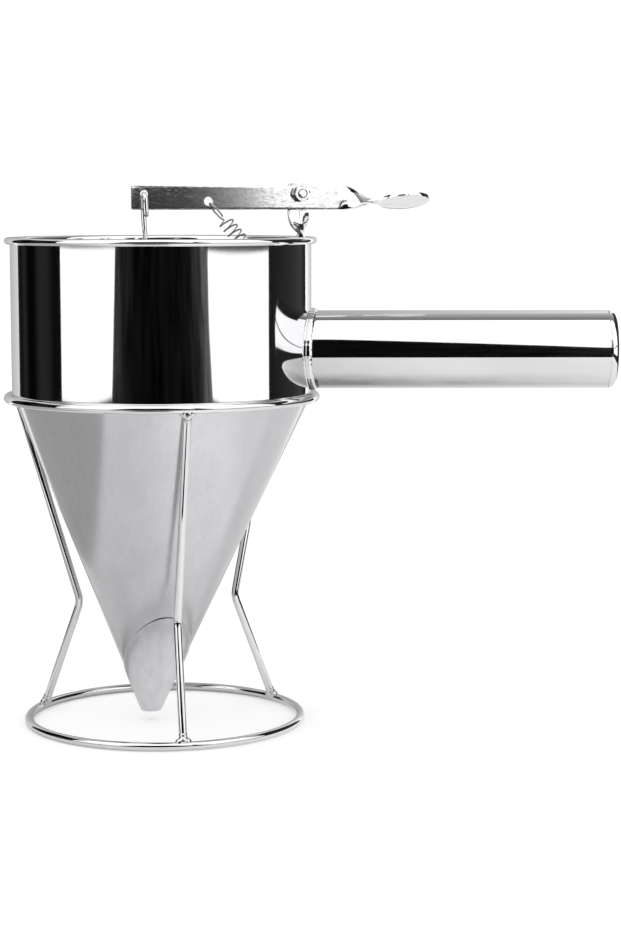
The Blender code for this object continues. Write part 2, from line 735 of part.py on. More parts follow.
def build_spring():
    """The return spring, from the lever down to the lug. Its hooks pull on the edges of the holes."""
    start = Vector((SPRING_HOLE_REACH, LEVER_ACROSS, LEVER_HEIGHT - SPRING_HOLE_DROP))
    end = Vector((LUG_HOLE_ALONG, LEVER_ACROSS, LUG_HOLE_HEIGHT))
    pull = (end - start).normalized()
    start += pull * (SPRING_HOLE_RADIUS - SPRING_WIRE_RADIUS - SPRING_HOOK_CLEARANCE)
    end -= pull * (LUG_HOLE_RADIUS - SPRING_WIRE_RADIUS - SPRING_HOOK_CLEARANCE)
    points = spring_points(start, end, Vector((0, 1, 0)))
    print("return_spring least gap to itself, mm:", least_gap(points, SPRING_WIRE_RADIUS) / MM)
    place(wire("return_spring", points, SPRING_WIRE_RADIUS, SPRING_STEEL, 1), LEVER_LINE)


def build_lug():
    """The ear on the cup's wall that holds the spring's lower hook."""
    curve = bpy.data.curves.new("spring_lug", "CURVE")
    curve.dimensions = "2D"
    curve.fill_mode = "BOTH"
    curve.extrude = LUG_THICKNESS / 2
    half = LUG_HEIGHT / 2
    outline = [(LUG_REACH, half), (LUG_REACH, -half)]
    outline += arc((0, 0), half, -QUARTER_TURN, -3 * QUARTER_TURN, 2 * BEND_STEPS)
    hole = arc((0, 0), LUG_HOLE_RADIUS, 0, FULL_TURN, 3 * BEND_STEPS)[:-1]
    for points in (outline, hole):
        spline = curve.splines.new("POLY")
        spline.points.add(len(points) - 1)
        for knot, point in zip(spline.points, points):
            knot.co = (*point, 0, 1)
        spline.use_cyclic_u = True
    curve.materials.append(BRUSHED_STEEL)
    lug = bpy.data.objects.new("spring_lug", curve)
    PARTS.objects.link(lug)
    place(lug, LEVER_LINE, (LUG_HOLE_ALONG, LEVER_ACROSS, LUG_HOLE_HEIGHT), (QUARTER_TURN, 0, 0))


def build_ring(name, radius, height):
    """A ring of wire. Its section has a flat at the bottom, so that the base ring stands on it."""
    corner = WIRE_RADIUS / math.cos(math.pi / RING_SIDES)
    profile = []
    for side in range(RING_SIDES):
        angle = QUARTER_TURN - FULL_TURN * (side + HALF_SHARE) / RING_SIDES
        profile.append((radius + corner * math.cos(angle), height + corner * math.sin(angle)))
    place(turned(name, profile, RING_STEPS, CHROME_WIRE), AXIS)


def end_clearance(direction, ring_direction):
    """How far along a leg its end stays from the middle of a ring's wire."""
    corner = WIRE_RADIUS / math.cos(math.pi / RING_SIDES)
    lean = abs(direction.dot(ring_direction))
    return (corner + GAP + LEG_WIRE_RADIUS * lean) / math.sqrt(1 - lean ** 2)


def build_leg(name, azimuth, head_turn):
    """A leg from the base ring, in and up to its bend, then out to the top ring."""
    bend_turned = Matrix.Rotation(head_turn * LEG_BEND_TURN_SHARE, 3, "Z")
    head_turned = Matrix.Rotation(head_turn, 3, "Z")
    foot = Vector((BASE_RING_RADIUS, 0, WIRE_RADIUS))
    bend = bend_turned @ Vector((LEG_BEND_RADIUS_FROM_AXIS, 0, LEG_BEND_HEIGHT))
    head = head_turned @ Vector((TOP_RING_RADIUS, 0, TOP_RING_HEIGHT))
    sideways = Vector((0, 1, 0))
    lower = (bend - foot).normalized()
    upper = (head - bend).normalized()
    foot = foot + lower * end_clearance(lower, sideways)
    head = head - upper * end_clearance(upper, head_turned @ sideways)
    turn = lower.angle(upper)
    run_in = LEG_BEND_ROUND * math.tan(turn / 2)
    points = [foot]
    for step in range(2 * BEND_STEPS + 1):
        share = step / (2 * BEND_STEPS)
        first = bend - lower * (run_in * (1 - share))
        second = bend + upper * (run_in * share)
        points.append(first.lerp(second, share))
    points.append(head)
    leg = wire(name, points, LEG_WIRE_RADIUS, CHROME_WIRE, 2)
    place(leg, AXIS, (0, 0, 0), (0, 0, azimuth))


def print_places():
    """Print where the joints, the foot and the middle of the nozzle lie, in metres."""
    bpy.context.view_layer.update()
    for item in (AXIS, PIVOT, ROD_HOLE):
        print(item.name, [round(value, 6) for value in item.matrix_world.translation])
    half_step = FULL_TURN / RING_STEPS / 2
    foot = AXIS.matrix_world @ Vector(
        (BASE_RING_RADIUS * math.cos(half_step) * math.cos(half_step),
         BASE_RING_RADIUS * math.cos(half_step) * math.sin(half_step),
         0)
    )
    print("foot", [round(value, 6) for value in foot])


clear_scene()
PARTS = make_collection("pancake_batter_dispenser")
CUTTERS = make_collection("cutters")
MIRROR_STEEL = make_material("mirror_steel", (0.80, 0.80, 0.81), 0.06, 1.0)
SATIN_STEEL = make_material("satin_steel", (0.70, 0.70, 0.72), 0.32, 1.0)
BRUSHED_STEEL = make_material("brushed_steel", (0.62, 0.62, 0.63), 0.28, 1.0)
PLATED_STEEL = make_material("plated_steel", (0.66, 0.66, 0.66), 0.22, 1.0)
SPRING_STEEL = make_material("spring_steel", (0.58, 0.58, 0.60), 0.20, 1.0)
CHROME_WIRE = make_material("chrome_wire", (0.82, 0.82, 0.84), 0.05, 1.0)

AXIS = make_empty("dispenser_axis", (-CENTRE_OFFSET, 0, 0), 0, None)
LEVER_LINE = make_empty("lever_line", (ROD_X, 0, 0), LEVER_AZIMUTH, AXIS)
PIVOT = make_empty("lever_pivot", (PIVOT_ALONG, LEVER_ACROSS, PIVOT_HEIGHT), 0, LEVER_LINE)
ROD_HOLE = make_empty(
    "rod_hole", (-ROD_SET_OVER, LEVER_ACROSS, ROD_HOLE_HEIGHT), 0, LEVER_LINE
)

build_cup()
build_cone()
build_sleeve()
build_handle()
build_lever()
build_bracket()
build_pivot()
build_rod()
build_plug()
build_spring()
build_lug()
build_ring("stand_top_ring", TOP_RING_RADIUS, TOP_RING_HEIGHT)
build_ring("stand_base_ring", BASE_RING_RADIUS, WIRE_RADIUS)
for leg_name, leg_place in LEG_PLACES.items():
    build_leg(leg_name, *leg_place)
print_places()
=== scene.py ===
import json
import math

import bmesh
import bpy
from bpy.props import FloatProperty, FloatVectorProperty, PointerProperty
from bpy.types import Operator, Panel, PropertyGroup
from mathutils import Matrix, Vector, noise


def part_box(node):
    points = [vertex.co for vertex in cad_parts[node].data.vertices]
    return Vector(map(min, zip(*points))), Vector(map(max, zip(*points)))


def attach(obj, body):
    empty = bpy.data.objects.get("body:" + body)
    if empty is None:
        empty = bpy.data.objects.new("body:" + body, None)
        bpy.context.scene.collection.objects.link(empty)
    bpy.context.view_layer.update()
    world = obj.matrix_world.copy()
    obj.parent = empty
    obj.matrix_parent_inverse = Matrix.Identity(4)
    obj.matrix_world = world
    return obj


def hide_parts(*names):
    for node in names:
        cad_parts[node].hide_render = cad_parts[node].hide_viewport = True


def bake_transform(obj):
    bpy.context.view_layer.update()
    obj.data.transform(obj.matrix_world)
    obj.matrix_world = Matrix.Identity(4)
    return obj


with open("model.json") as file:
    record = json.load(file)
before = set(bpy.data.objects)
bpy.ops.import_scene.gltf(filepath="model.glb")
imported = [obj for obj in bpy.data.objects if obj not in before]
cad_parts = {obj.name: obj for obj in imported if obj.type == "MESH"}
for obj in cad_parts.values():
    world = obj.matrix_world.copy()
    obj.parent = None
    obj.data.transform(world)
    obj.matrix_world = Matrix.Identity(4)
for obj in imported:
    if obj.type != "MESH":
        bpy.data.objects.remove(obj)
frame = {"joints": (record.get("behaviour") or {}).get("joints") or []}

bl_info = {
    "name": "Pancake Batter Dispenser",
    "version": (1, 0, 0),
    "blender": (4, 5, 0),
    "location": "View3D > Sidebar > Dispenser",
    "description": "Steel batter funnel with a thumb lever, a tube handle and a wire stand",
    "category": "Add Mesh",
}

MM = 0.001
MERGE = 0.002 * MM

# The gap at a joint of two pieces, and the play of a close fit
GAP = 0.3 * MM
TIGHT = 0.05 * MM
BROKEN_EDGE = 0.15 * MM
DRILL_OVERRUN = 2 * MM
FULL_TURN = 2 * math.pi
QUARTER_TURN = math.pi / 2

# Steps round the turned pieces and the rounded ends of wires
FINE_STEPS = 288
HANDLE_STEPS = 224
SLEEVE_STEPS = 192
NUT_STEPS = 144
PLUG_STEPS = 96
SMALL_STEPS = 64
HOLE_STEPS = 48
WIRE_END_STEPS = 5

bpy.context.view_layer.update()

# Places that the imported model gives
JOINTS = {joint["name"]: joint for joint in frame["joints"]}
PIVOT = Vector(JOINTS["lever_press"]["pos_m"])
ROD_HOLE = Vector(JOINTS["rod_hang"]["pos_m"])
LEVER_AZIMUTH = math.atan2(-JOINTS["lever_press"]["axis"][0], JOINTS["lever_press"]["axis"][1])
LEVER_TURN = Matrix.Rotation(LEVER_AZIMUTH, 4, "Z")
AT_PIVOT = Matrix.Translation(PIVOT) @ LEVER_TURN
AT_ROD_HOLE = Matrix.Translation(ROD_HOLE) @ LEVER_TURN
PIVOT_ALONG = (PIVOT - ROD_HOLE).xy.length


def middle(node):
    """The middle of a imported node's box."""
    low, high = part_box(node)
    return (low + high) / 2


CUP_MIDDLE = middle("cup_shell")
AXIS = Matrix.Translation((CUP_MIDDLE.x, CUP_MIDDLE.y, 0))
HANDLE_HEIGHT = middle("handle_tube").z
TOP_RING_HEIGHT = middle("stand_top_ring").z


def length(name, description, millimetres):
    """A size in metres, given in millimetres."""
    return FloatProperty(
        name=name,
        description=description,
        default=millimetres * MM,
        min=0.0,
        precision=5,
        unit="LENGTH",
        subtype="DISTANCE",
    )


def colour(name, description, default):
    """A colour that a user can change."""
    return FloatVectorProperty(
        name=name, description=description, default=default, min=0.0, max=1.0, subtype="COLOR"
    )


def roughness(name, description, default):
    """A roughness that a user can change."""
    return FloatProperty(
        name=name, description=description, default=default, min=0.0, max=1.0, subtype="FACTOR"
    )


class DispenserSizes(PropertyGroup):
    """Sizes of the dispenser's pieces."""

    cup_radius: length("Cup Radius", "Outer radius of the cup's wall", 69.75)
    rim_height: length("Rim Height", "Height of the middle of the rim bead", 226.5)
    corner_height: length("Corner Height", "Height where the cup's wall meets the cone", 155.5)
    corner_bend: length("Corner Bend", "Radius of the bend between cup and cone", 5.0)
    sheet: length("Sheet", "Thickness of the cup's and cone's sheet", 0.6)
    bead_radius: length("Bead Radius", "Radius of the rolled rim", 1.6)
    cone_top: length("Cone Top", "Height of the cone's upper edge", 153.4)
    tip_radius: length("Tip Radius", "Outer radius of the nozzle", 4.0)
    tip_height: length("Tip Height", "Height of the nozzle's edge", 4.6)
    tip_set_over: length("Tip Set Over", "How far left of the cup's axis the nozzle lies", 6.7)
    lean_top: length("Lean Top", "Height at which the cone lies on the cup's axis", 151.2)
    sleeve_sheet: length("Sleeve Sheet", "Thickness of the nozzle's sleeve", 0.4)
    sleeve_start: length("Sleeve Start", "Height of the sleeve's lower edge", 4.6)
    sleeve_height: length("Sleeve Height", "Height of the sleeve on its axis", 20.3)
    sleeve_front_rise: length("Sleeve Front Rise", "How much higher its front edge is", 30.0)
    sleeve_right_rise: length("Sleeve Right Rise", "How much higher its right edge is", 9.3)
    handle_radius: length("Handle Radius", "Outer radius of the handle", 18.2)
    handle_wall: length("Handle Wall", "Thickness of the handle's tube", 0.8)
    handle_reach: length("Handle Reach", "From the cup's axis to the handle's end", 211.8)
    weld_radius: length("Handle Weld", "Radius of the weld bead round the handle", 1.7)
    cap_length: length("Cap Length", "Length of the handle's end cap", 4.0)
    cap_corner: length("Cap Corner", "Radius of the end cap's corner", 3.2)
    cap_dome: length("Cap Dome", "How far the end cap's middle stands out", 0.5)
    lever_width: length("Lever Width", "Width of the lever's bar", 11.0)
    lever_thickness: length("Lever Thickness", "Thickness of the lever", 1.6)
    lever_tail: length("Lever Tail", "From the rod's hole to the lever's end", 6.0)
    lever_corner: length("Lever Corner", "Radius of the corners of that end", 1.2)
    lever_flat_run: length("Lever Flat Run", "From the pivot to the start of the twist", 18.5)
    lever_neck: length("Lever Neck", "Width of the neck before the pad", 7.5)
    pad_radius: length("Pad Radius", "Radius of the thumb pad", 12.0)
    pad_reach: length("Pad Reach", "From the pivot to the middle of the pad", 51.7)
    pad_drop: length("Pad Drop", "How far the pad lies below the bar's middle", 1.4)
    pivot_rise: length("Pivot Rise", "How far the pivot lies above the bar's middle", 1.9)
    rod_hole: length("Rod Hole", "Radius of the rod's hole", 1.9)
    spring_hole: length("Spring Hole", "Radius of the spring's hole", 2.1)
    spring_hole_reach: length("Spring Hole Reach", "From the rod's hole to the spring's", 30.4)
    spring_hole_drop: length("Spring Hole Drop", "From the bar's middle down to the hole", 1.6)
    bolt_radius: length("Bolt Radius", "Radius of the pivot's bolt", 1.85)
    bolt_head: length("Bolt Head", "Radius of the bolt's head", 3.8)
    nut_corner: length("Nut Corner", "Radius of the nut's corners", 3.96)
    nut_height: length("Nut Height", "Height of the nut", 3.2)
    washer_radius: length("Washer Radius", "Radius of the washers", 4.0)
    washer_thickness: length("Washer Thickness", "Thickness of the washers", 0.8)
    bracket_width: length("Bracket Width", "Width of the strip that carries the pivot", 10.2)
    bracket_thickness: length("Bracket Thickness", "Thickness of that strip", 1.5)
    bracket_jog: length("Bracket Jog", "How far the strip's foot lies beyond the pivot", 1.3)
    bracket_top: length("Bracket Top", "From the pivot up to the strip's end", 5.0)
    bracket_round: length("Bracket Round", "Radius of that end's corners", 2.2)
    bracket_flat: length("Bracket Flat", "From the pivot down to the twist", 6.5)
    bracket_foot: length("Bracket Foot", "Length of the strip inside the cup", 20.0)
    rod_radius: length("Rod Radius", "Radius of the stopper's rod", 1.2)
    rod_set_back: length("Rod Set Back", "How far behind the lever the rod hangs", 3.0)
    rod_set_over: length("Rod Set Over", "How far the rod hangs to the right of its hole", 2.3)
    rod_slant_drop: length("Rod Slant Drop", "From the rod's hole down to the slant's end", 45.0)
    rod_bend: length("Rod Bend", "Radius of the bends of the rod's hook", 2.2)
    hook_drop: length("Hook Drop", "How far the hook's end hangs down", 9.2)
    plug_radius: length("Plug Radius", "Radius of the ball of the plug", 8.0)
    plug_neck: length("Plug Neck", "Radius of the plug's neck", 2.6)
    plug_neck_height: length("Plug Neck Height", "From the ball's middle to the neck's top", 9.0)
    spring_wire: length("Spring Wire", "Radius of the spring's wire", 0.4)
    spring_coil: length("Spring Coil", "Radius of the spring's turns", 3.3)
    spring_pitch: length("Spring Pitch", "Distance between the spring's turns", 3.0)
    spring_hook: length("Spring Hook", "Radius of the spring's hooks", 4.9)
    hook_clearance: length("Hook Clearance", "From a hook's wire to its hole's edge", 0.4)
    lug_height: length("Lug Height", "Height of the spring's lug", 10.0)
    lug_reach: length("Lug Reach", "From the cup's wall to the lug's hole", 7.0)
    lug_thickness: length("Lug Thickness", "Thickness of the lug", 1.2)
    lug_drop: length("Lug Drop", "From the rim down to the lug's hole", 28.2)
    lug_hole: length("Lug Hole", "Radius of the lug's hole", 2.0)
    wire_radius: length("Ring Wire", "Radius of the rings' wire", 2.0)
    leg_wire: length("Leg Wire", "Radius of the legs' wire", 1.9)
    top_ring: length("Top Ring", "Radius of the upper ring at the middle of its wire", 71.6)
    base_ring: length("Base Ring", "Radius of the base ring at the middle of its wire", 64.2)
    leg_bend_reach: length("Leg Bend Reach", "From the axis to a leg's bend", 43.0)
    leg_bend_height: length("Leg Bend Height", "Height of a leg's bend", 54.5)
    leg_bend_round: length("Leg Bend Round", "Radius of a leg's bend", 9.0)
    stand_weld: length("Stand Weld", "Radius of a weld on the stand", 2.45)


class DispenserFinishes(PropertyGroup):
    """Colours and roughnesses of the dispenser's steels."""

    mirror: colour("Polished Steel", "Polished sheet of the cup and handle", (0.87, 0.87, 0.88))
    mirror_roughness: roughness("Polish", "Roughness of the polished sheet", 0.035)
    satin: colour("Satin Steel", "Satin sheet of the cone", (0.80, 0.80, 0.82))
    satin_roughness: roughness("Satin", "Roughness of the satin sheet", 0.10)
    brushed: colour("Brushed Steel", "Brushed bar of the lever", (0.90, 0.90, 0.91))
    brushed_roughness: roughness("Brushing", "Roughness of the brushed bar", 0.05)
    plated: colour("Plated Steel", "Plated nut, bolt and washers", (0.86, 0.86, 0.86))
    plated_roughness: roughness("Plating", "Roughness of the plated fasteners", 0.06)
    spring: colour("Spring Steel", "Drawn wire of the spring", (0.55, 0.55, 0.56))
    spring_roughness: roughness("Drawing", "Roughness of the drawn wire", 0.12)
    chrome: colour("Chromed Wire", "Chromed wire of the stand", (0.86, 0.86, 0.87))
    chrome_roughness: roughness("Chrome", "Roughness of the chromed wire", 0.04)
    floor: colour("Floor", "Colour of the floor", (0.80, 0.80, 0.80))


class Field:
    """A shader socket. Sums and products of fields become Math nodes."""

    def __init__(self, paint, socket):
        self.paint = paint
        self.socket = socket

    def math(self, operation, first, second):
        made = self.paint.node("ShaderNodeMath", {"operation": operation}, {0: first, 1: second})
        return Field(self.paint, made.outputs[0])

    def __add__(self, other):
        return self.math("ADD", self, other)

    def __sub__(self, other):
        return self.math("SUBTRACT", self, other)

    def __rsub__(self, other):
        return self.math("SUBTRACT", other, self)

    def __mul__(self, other):
        return self.math("MULTIPLY", self, other)

    def __truediv__(self, other):
        return self.math("DIVIDE", self, other)

    def __pow__(self, other):
        return self.math("POWER", self, other)

    def largest(self, other):
        return self.math("MAXIMUM", self, other)

    __radd__ = __add__
    __rmul__ = __mul__


class Paint:
    """Adds nodes to one node tree."""

    def __init__(self, tree):
        self.tree = tree

    def node(self, kind, settings=None, inputs=None):
        made = self.tree.nodes.new(kind)
        for name, value in (settings or {}).items():
            if name == "stops":
                stops = made.color_ramp.elements
                for index, (position, tone) in enumerate(value):
                    stop = stops[index] if index < 2 else stops.new(position)
                    stop.position = position
                    stop.color = (tone, tone, tone, 1)
            else:
                setattr(made, name, value)
        for name, value in (inputs or {}).items():
            if isinstance(value, Field):
                self.tree.links.new(value.socket, made.inputs[name])
            else:
                made.inputs[name].default_value = value
        return made

    def field(self, kind, settings=None, inputs=None, output=0):
        return Field(self, self.node(kind, settings, inputs).outputs[output])

    def place(self):
        """Object coordinates."""
        return self.field("ShaderNodeTexCoord", output="Object")

    def part(self, axis):
        """One of the object coordinates."""
        return self.field("ShaderNodeSeparateXYZ", None, {0: self.place()}, axis)

    def ray(self, kind):
        """1 for light rays of one kind and 0 for the others."""
        return self.field("ShaderNodeLightPath", output=kind)

    def between(self, value, first, last, most=1.0):
        """Runs smoothly from 0 at the first value to most at the last."""
        reach = {"Value": value, "From Min": first, "From Max": last, "To Max": most}
        return self.field("ShaderNodeMapRange", {"interpolation_type": "SMOOTHSTEP"}, reach)

    def speckle(self, place, scale, detail=3.0):
        """Noise from 0 to 1."""
        settings = {"noise_dimensions": "3D"}
        inputs = {"Vector": place, "Scale": scale, "Detail": detail}
        return self.field("ShaderNodeTexNoise", settings, inputs)

    def stretched(self, turn, stretch):
        """Object coordinates turned about Z and stretched."""
        inputs = {"Vector": self.place(), "Rotation": (0, 0, turn), "Scale": stretch}
        return self.field("ShaderNodeMapping", {"vector_type": "POINT"}, inputs)

    def tint(self, share, first, second):
        """A mix of two colours."""
        inputs = {0: share, 6: (*first, 1), 7: (*second, 1)}
        return self.field("ShaderNodeMix", {"data_type": "RGBA"}, inputs, 2)

    def bump(self, height, strength, depth):
        """A bumped normal."""
        inputs = {"Height": height, "Strength": strength, "Distance": depth}
        return self.field("ShaderNodeBump", None, inputs)


def blank(owner):
    """Empty the nodes of a material or world, to paint them anew."""
    owner.use_nodes = True
    owner.node_tree.nodes.clear()
    return Paint(owner.node_tree)


def metal(name, tone, depth, rough, shades):
    """A metal. shades gives its share of darker tone (painted shade in the handle's and sleeve's
    finishes), its roughness change and its normal.
    """
    material = bpy.data.materials.new(name)
    material.use_nodes = True
    paint = Paint(material.node_tree)
    shader = material.node_tree.nodes["Principled BSDF"]
    shader.inputs["Metallic"].default_value = 1.0
    tone_and_painted_shade, change, normal = shades(paint)
    darker = [part * depth for part in tone]
    links = material.node_tree.links
    links.new(paint.tint(tone_and_painted_shade, tone, darker).socket, shader.inputs["Base Color"])
    links.new((change + rough).socket, shader.inputs["Roughness"])
    links.new(normal.socket, shader.inputs["Normal"])
    return material


def polish_with_painted_shade(paint):
    """The handle's polish, with painted shade along its underside and a painted dark line low on
    its side, both fading towards its end.
    """
    cloud = paint.speckle(paint.stretched(0, (25, 90, 90)), 1.0, 3.0)
    radius = bpy.context.scene.dispenser_sizes.handle_radius
    below = (HANDLE_HEIGHT - paint.part("Z")) / radius + cloud * 0.1
    clear_from = 170 * MM
    full_until = -30 * MM
    near = paint.between(paint.part("X"), clear_from, full_until)
    # Painted shade: a dark line low on the tube's side and a darker underside, fading towards the
    # end.
    seam_and_painted_line = paint.between(below, 0.55, 0.85) * paint.between(below, 1.01, 0.9)
    under = paint.between(below, 0.12, 0.2) * near
    shade, rough, normal = polished(paint)
    painted_underside_shade = under * (cloud + 0.45) * 0.5 + seam_and_painted_line * (near + 0.4) * cloud * 0.85
    return painted_underside_shade + shade * 0.15, rough, normal


def polished(paint):
    """Polished sheet: faint wipe marks, hairlines round the cup and a slight wave."""
    smudge = paint.speckle(paint.place(), 28.0, 4.0)
    hairline = paint.speckle(paint.stretched(0, (25, 25, 1500)), 1.0, 2.0)
    wave = paint.speckle(paint.place(), 14.0, 1.0)
    height = wave + hairline * 0.004
    return smudge * 0.5, smudge * smudge * 0.05, paint.bump(height, 0.25, 0.4 * MM)


def satin(paint):
    """Satin sheet: fine lines down the cone, with cloudy patches, rougher and darker in blotches
    towards the nozzle.
    """
    cloud = paint.speckle(paint.place(), 30.0, 6.0)
    grain = paint.speckle(paint.stretched(0, (700, 700, 25)), 1.0, 4.0)
    blotch = paint.speckle(paint.stretched(0, (90, 90, 30)), 1.0, 3.0)
    bright_from = 150 * MM
    dull_until = 50 * MM
    low = paint.between(paint.part("Z"), bright_from, dull_until)
    relief = grain * 0.06 + cloud * 0.5 + blotch * 0.25
    shade = cloud * 0.5 + grain * 0.35 + blotch * 0.25 + low * blotch * 0.35
    rough = cloud * 0.04 + grain * 0.05 + low * 0.08
    return shade, rough, paint.bump(relief, 0.3, 0.25 * MM)


def cuffed(paint):
    """The sleeve's satin: painted shade along its rim and its left side, so it is brighter down
    its middle.
    """
    shade, rough, normal = satin(paint)
    blotch = paint.speckle(paint.stretched(0, (240, 240, 70)), 1.0, 4.0)
    rim_low, rim_high = 20 * MM, 50 * MM
    left_inner, left_outer = -83 * MM, -90 * MM
    # Painted shade: darker towards the sleeve's rim and its left side.
    rim = paint.between(paint.part("Z"), rim_low, rim_high, 0.4)
    left_painted_shade = paint.between(paint.part("X"), left_inner, left_outer, 0.35)
    return shade * 0.15 + (blotch - 0.5) * 0.8 + rim + left_painted_shade, rough, normal


def brushed(paint):
    """Brushed bar: lines along the lever."""
    lines = paint.speckle(paint.stretched(-LEVER_AZIMUTH, (60, 1500, 1500)), 1.0, 5.0)
    cloud = paint.speckle(paint.place(), 90.0, 3.0)
    streak = lines ** 4 * 4.0
    rough = streak * 0.1 + cloud * 0.03
    wide = paint.speckle(paint.stretched(-LEVER_AZIMUTH, (25, 500, 500)), 1.0, 3.0)
    shade = (lines + wide - 0.9) * 1.2
    return shade, rough, paint.bump(streak * 0.2, 0.18, 0.2 * MM)


def plated(paint):
    """Plated fasteners: a little uneven."""
    cloud = paint.speckle(paint.place(), 700.0, 4.0)
    return cloud, cloud * 0.06, paint.bump(cloud, 0.15, 0.05 * MM)


def drawn(paint):
    """Drawn wire: faint lines along the turns."""
    lines = paint.speckle(paint.place(), 1600.0, 3.0)
    return lines * 0.8, lines * 0.1, paint.bump(lines, 0.15, 0.03 * MM)


def chromed(paint):
    """Chromed wire: bright, with a slight ripple."""
    ripple = paint.speckle(paint.place(), 160.0, 3.0)
    return ripple * 0.6, ripple * 0.04, paint.bump(ripple, 0.2, 0.08 * MM)


def welded(paint):
    """Weld metal: rippled and dull in patches."""
    ripple = paint.speckle(paint.place(), 900.0, 4.0)
    patch = paint.speckle(paint.place(), 350.0, 3.0)
    return patch, patch * 0.3, paint.bump(ripple + patch, 0.5, 0.2 * MM)


def finish(name):
    """The material of a finish, made once."""
    known = bpy.data.materials.get("dispenser_" + name)
    if known:
        return known
    chosen = bpy.context.scene.dispenser_finishes
    tones = {
        "mirror": (chosen.mirror, 0.92, chosen.mirror_roughness, polished),
        "painted_underside_shade": (chosen.mirror, 0.35, chosen.mirror_roughness, polish_with_painted_shade),
        "satin": (chosen.satin, 0.68, chosen.satin_roughness, satin),
        "cuff": (chosen.satin, 0.6, chosen.satin_roughness, cuffed),
        "brushed": (chosen.brushed, 0.55, chosen.brushed_roughness, brushed),
        "plated": (chosen.plated, 0.8, chosen.plated_roughness, plated),
        "spring": (chosen.spring, 0.4, chosen.spring_roughness, drawn),
        "chrome": (chosen.chrome, 0.85, chosen.chrome_roughness, chromed),
        "weld": (chosen.chrome, 0.75, chosen.plated_roughness, welded),
    }
    tone, depth, rough, shades = tones[name]
    return metal("dispenser_" + name, tuple(tone), depth, rough, shades)


def object_of(name, mesh):
    """An object linked to the scene."""
    item = bpy.data.objects.new(name, mesh)
    bpy.context.scene.collection.objects.link(item)
    return item


def object_from(name, work):
    """An object from a bmesh."""
    mesh = bpy.data.meshes.new(name)
    work.to_mesh(mesh)
    work.free()
    return object_of(name, mesh)


def applied(item):
    """Turn an object's modifiers, or a curve, into its mesh."""
    graph = bpy.context.evaluated_depsgraph_get()
    mesh = bpy.data.meshes.new_from_object(item.evaluated_get(graph))
    name = item.name
    bpy.data.objects.remove(item)
    return object_of(name, mesh)


def fit(item, place, look, body, nodes=(), sharp=35.0):
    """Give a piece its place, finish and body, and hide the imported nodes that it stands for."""
    item.data.transform(place)
    item.data.materials.clear()
    item.data.materials.append(finish(look))
    item.data.shade_smooth()
    item.data.set_sharp_from_angle(angle=math.radians(sharp))
    if body:
        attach(item, body)
    if nodes:
        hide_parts(*nodes)
    return item


def spread(total, count, first=0):
    """Even steps from 0 to a total, from the first one on."""
    return [total * step / count for step in range(first, count + 1)]


def arc(centre, radius, start, end, steps):
    """Points of an arc, as (radius from the axis, height)."""
    turns = [start + part for part in spread(end - start, steps)]
    return [
        (centre[0] + radius * math.cos(turn), centre[1] + radius * math.sin(turn))
        for turn in turns
    ]


def collar(outer, bore, tall, edge):
    """The outline of a ring, from the height 0 up, with its outer edges broken."""
    return [
        (outer - edge, tall),
        (outer, tall - edge),
        (outer, edge),
        (outer - edge, 0),
        (bore, 0),
        (bore, tall),
    ]


def turned(profile, steps, closed=True):
    """A profile spun round the Z axis."""
    work = bmesh.new()
    verts = [work.verts.new((across, 0, height)) for across, height in profile]
    edges = [work.edges.new(pair) for pair in zip(verts, verts[1:])]
    if closed:
        edges.append(work.edges.new((verts[-1], verts[0])))
    bmesh.ops.spin(
        work,
        geom=verts + edges,
        axis=(0, 0, 1),
        cent=(0, 0, 0),
        angle=FULL_TURN,
        steps=steps,
        use_merge=True,
    )
    bmesh.ops.remove_doubles(work, verts=work.verts, dist=MERGE)
    bmesh.ops.recalc_face_normals(work, faces=work.faces)
    return work


def wire(name, points, radius, sides=6, cyclic=False, radii=None):
    """A round wire along points, as a mesh. Its open ends are rounded."""
    points = [Vector(point) for point in points]
    scales = list(radii or [1.0] * len(points))
    if not cyclic:
        first = (points[0] - points[1]).normalized() * radius
        last = (points[-1] - points[-2]).normalized() * radius
        blunt = 0.1
        shares = [math.sin(angle) for angle in spread(QUARTER_TURN, WIRE_END_STEPS, 1)]
        caps = [
            math.cos(QUARTER_TURN * step / (WIRE_END_STEPS + blunt))
            for step in range(1, WIRE_END_STEPS + 1)
        ]
        before = [points[0] + first * share for share in shares]
        after = [points[-1] + last * share for share in shares]
        points = before[::-1] + points + after
        scales = caps[::-1] + scales + caps
    curve = bpy.data.curves.new(name, "CURVE")
    curve.dimensions = "3D"
    curve.bevel_depth = radius
    curve.bevel_resolution = sides
    curve.use_fill_caps = not cyclic
    spline = curve.splines.new("POLY")
    spline.points.add(len(points) - 1)
    for knot, point, scale in zip(spline.points, points, scales):
        knot.co = (*point, 1)
        knot.radius = scale
    spline.use_cyclic_u = cyclic
    return applied(object_of(name, curve))


def bevelled(item, width, segments=2):
    """Break an object's sharp edges."""
    rounded = item.modifiers.new("edge", "BEVEL")
    rounded.width = width
    rounded.segments = segments
    rounded.limit_method = "ANGLE"
    rounded.angle_limit = math.radians(50)


def plate(name, stations, cells, thickness, edge):
    """A twisted strip from stations of (centre, width direction, half width)."""
    work = bmesh.new()
    last = len(stations) - 1
    bmesh.ops.create_grid(work, x_segments=last, y_segments=cells, size=1)
    for vertex in work.verts:
        centre, direction, half_width = stations[round((vertex.co.x + 1) / 2 * last)]
        vertex.co = centre + direction * (half_width * vertex.co.y)
    item = object_from(name, work)
    thick = item.modifiers.new("thickness", "SOLIDIFY")
    thick.thickness = thickness
    thick.offset = 0
    bevelled(item, edge)
    return item


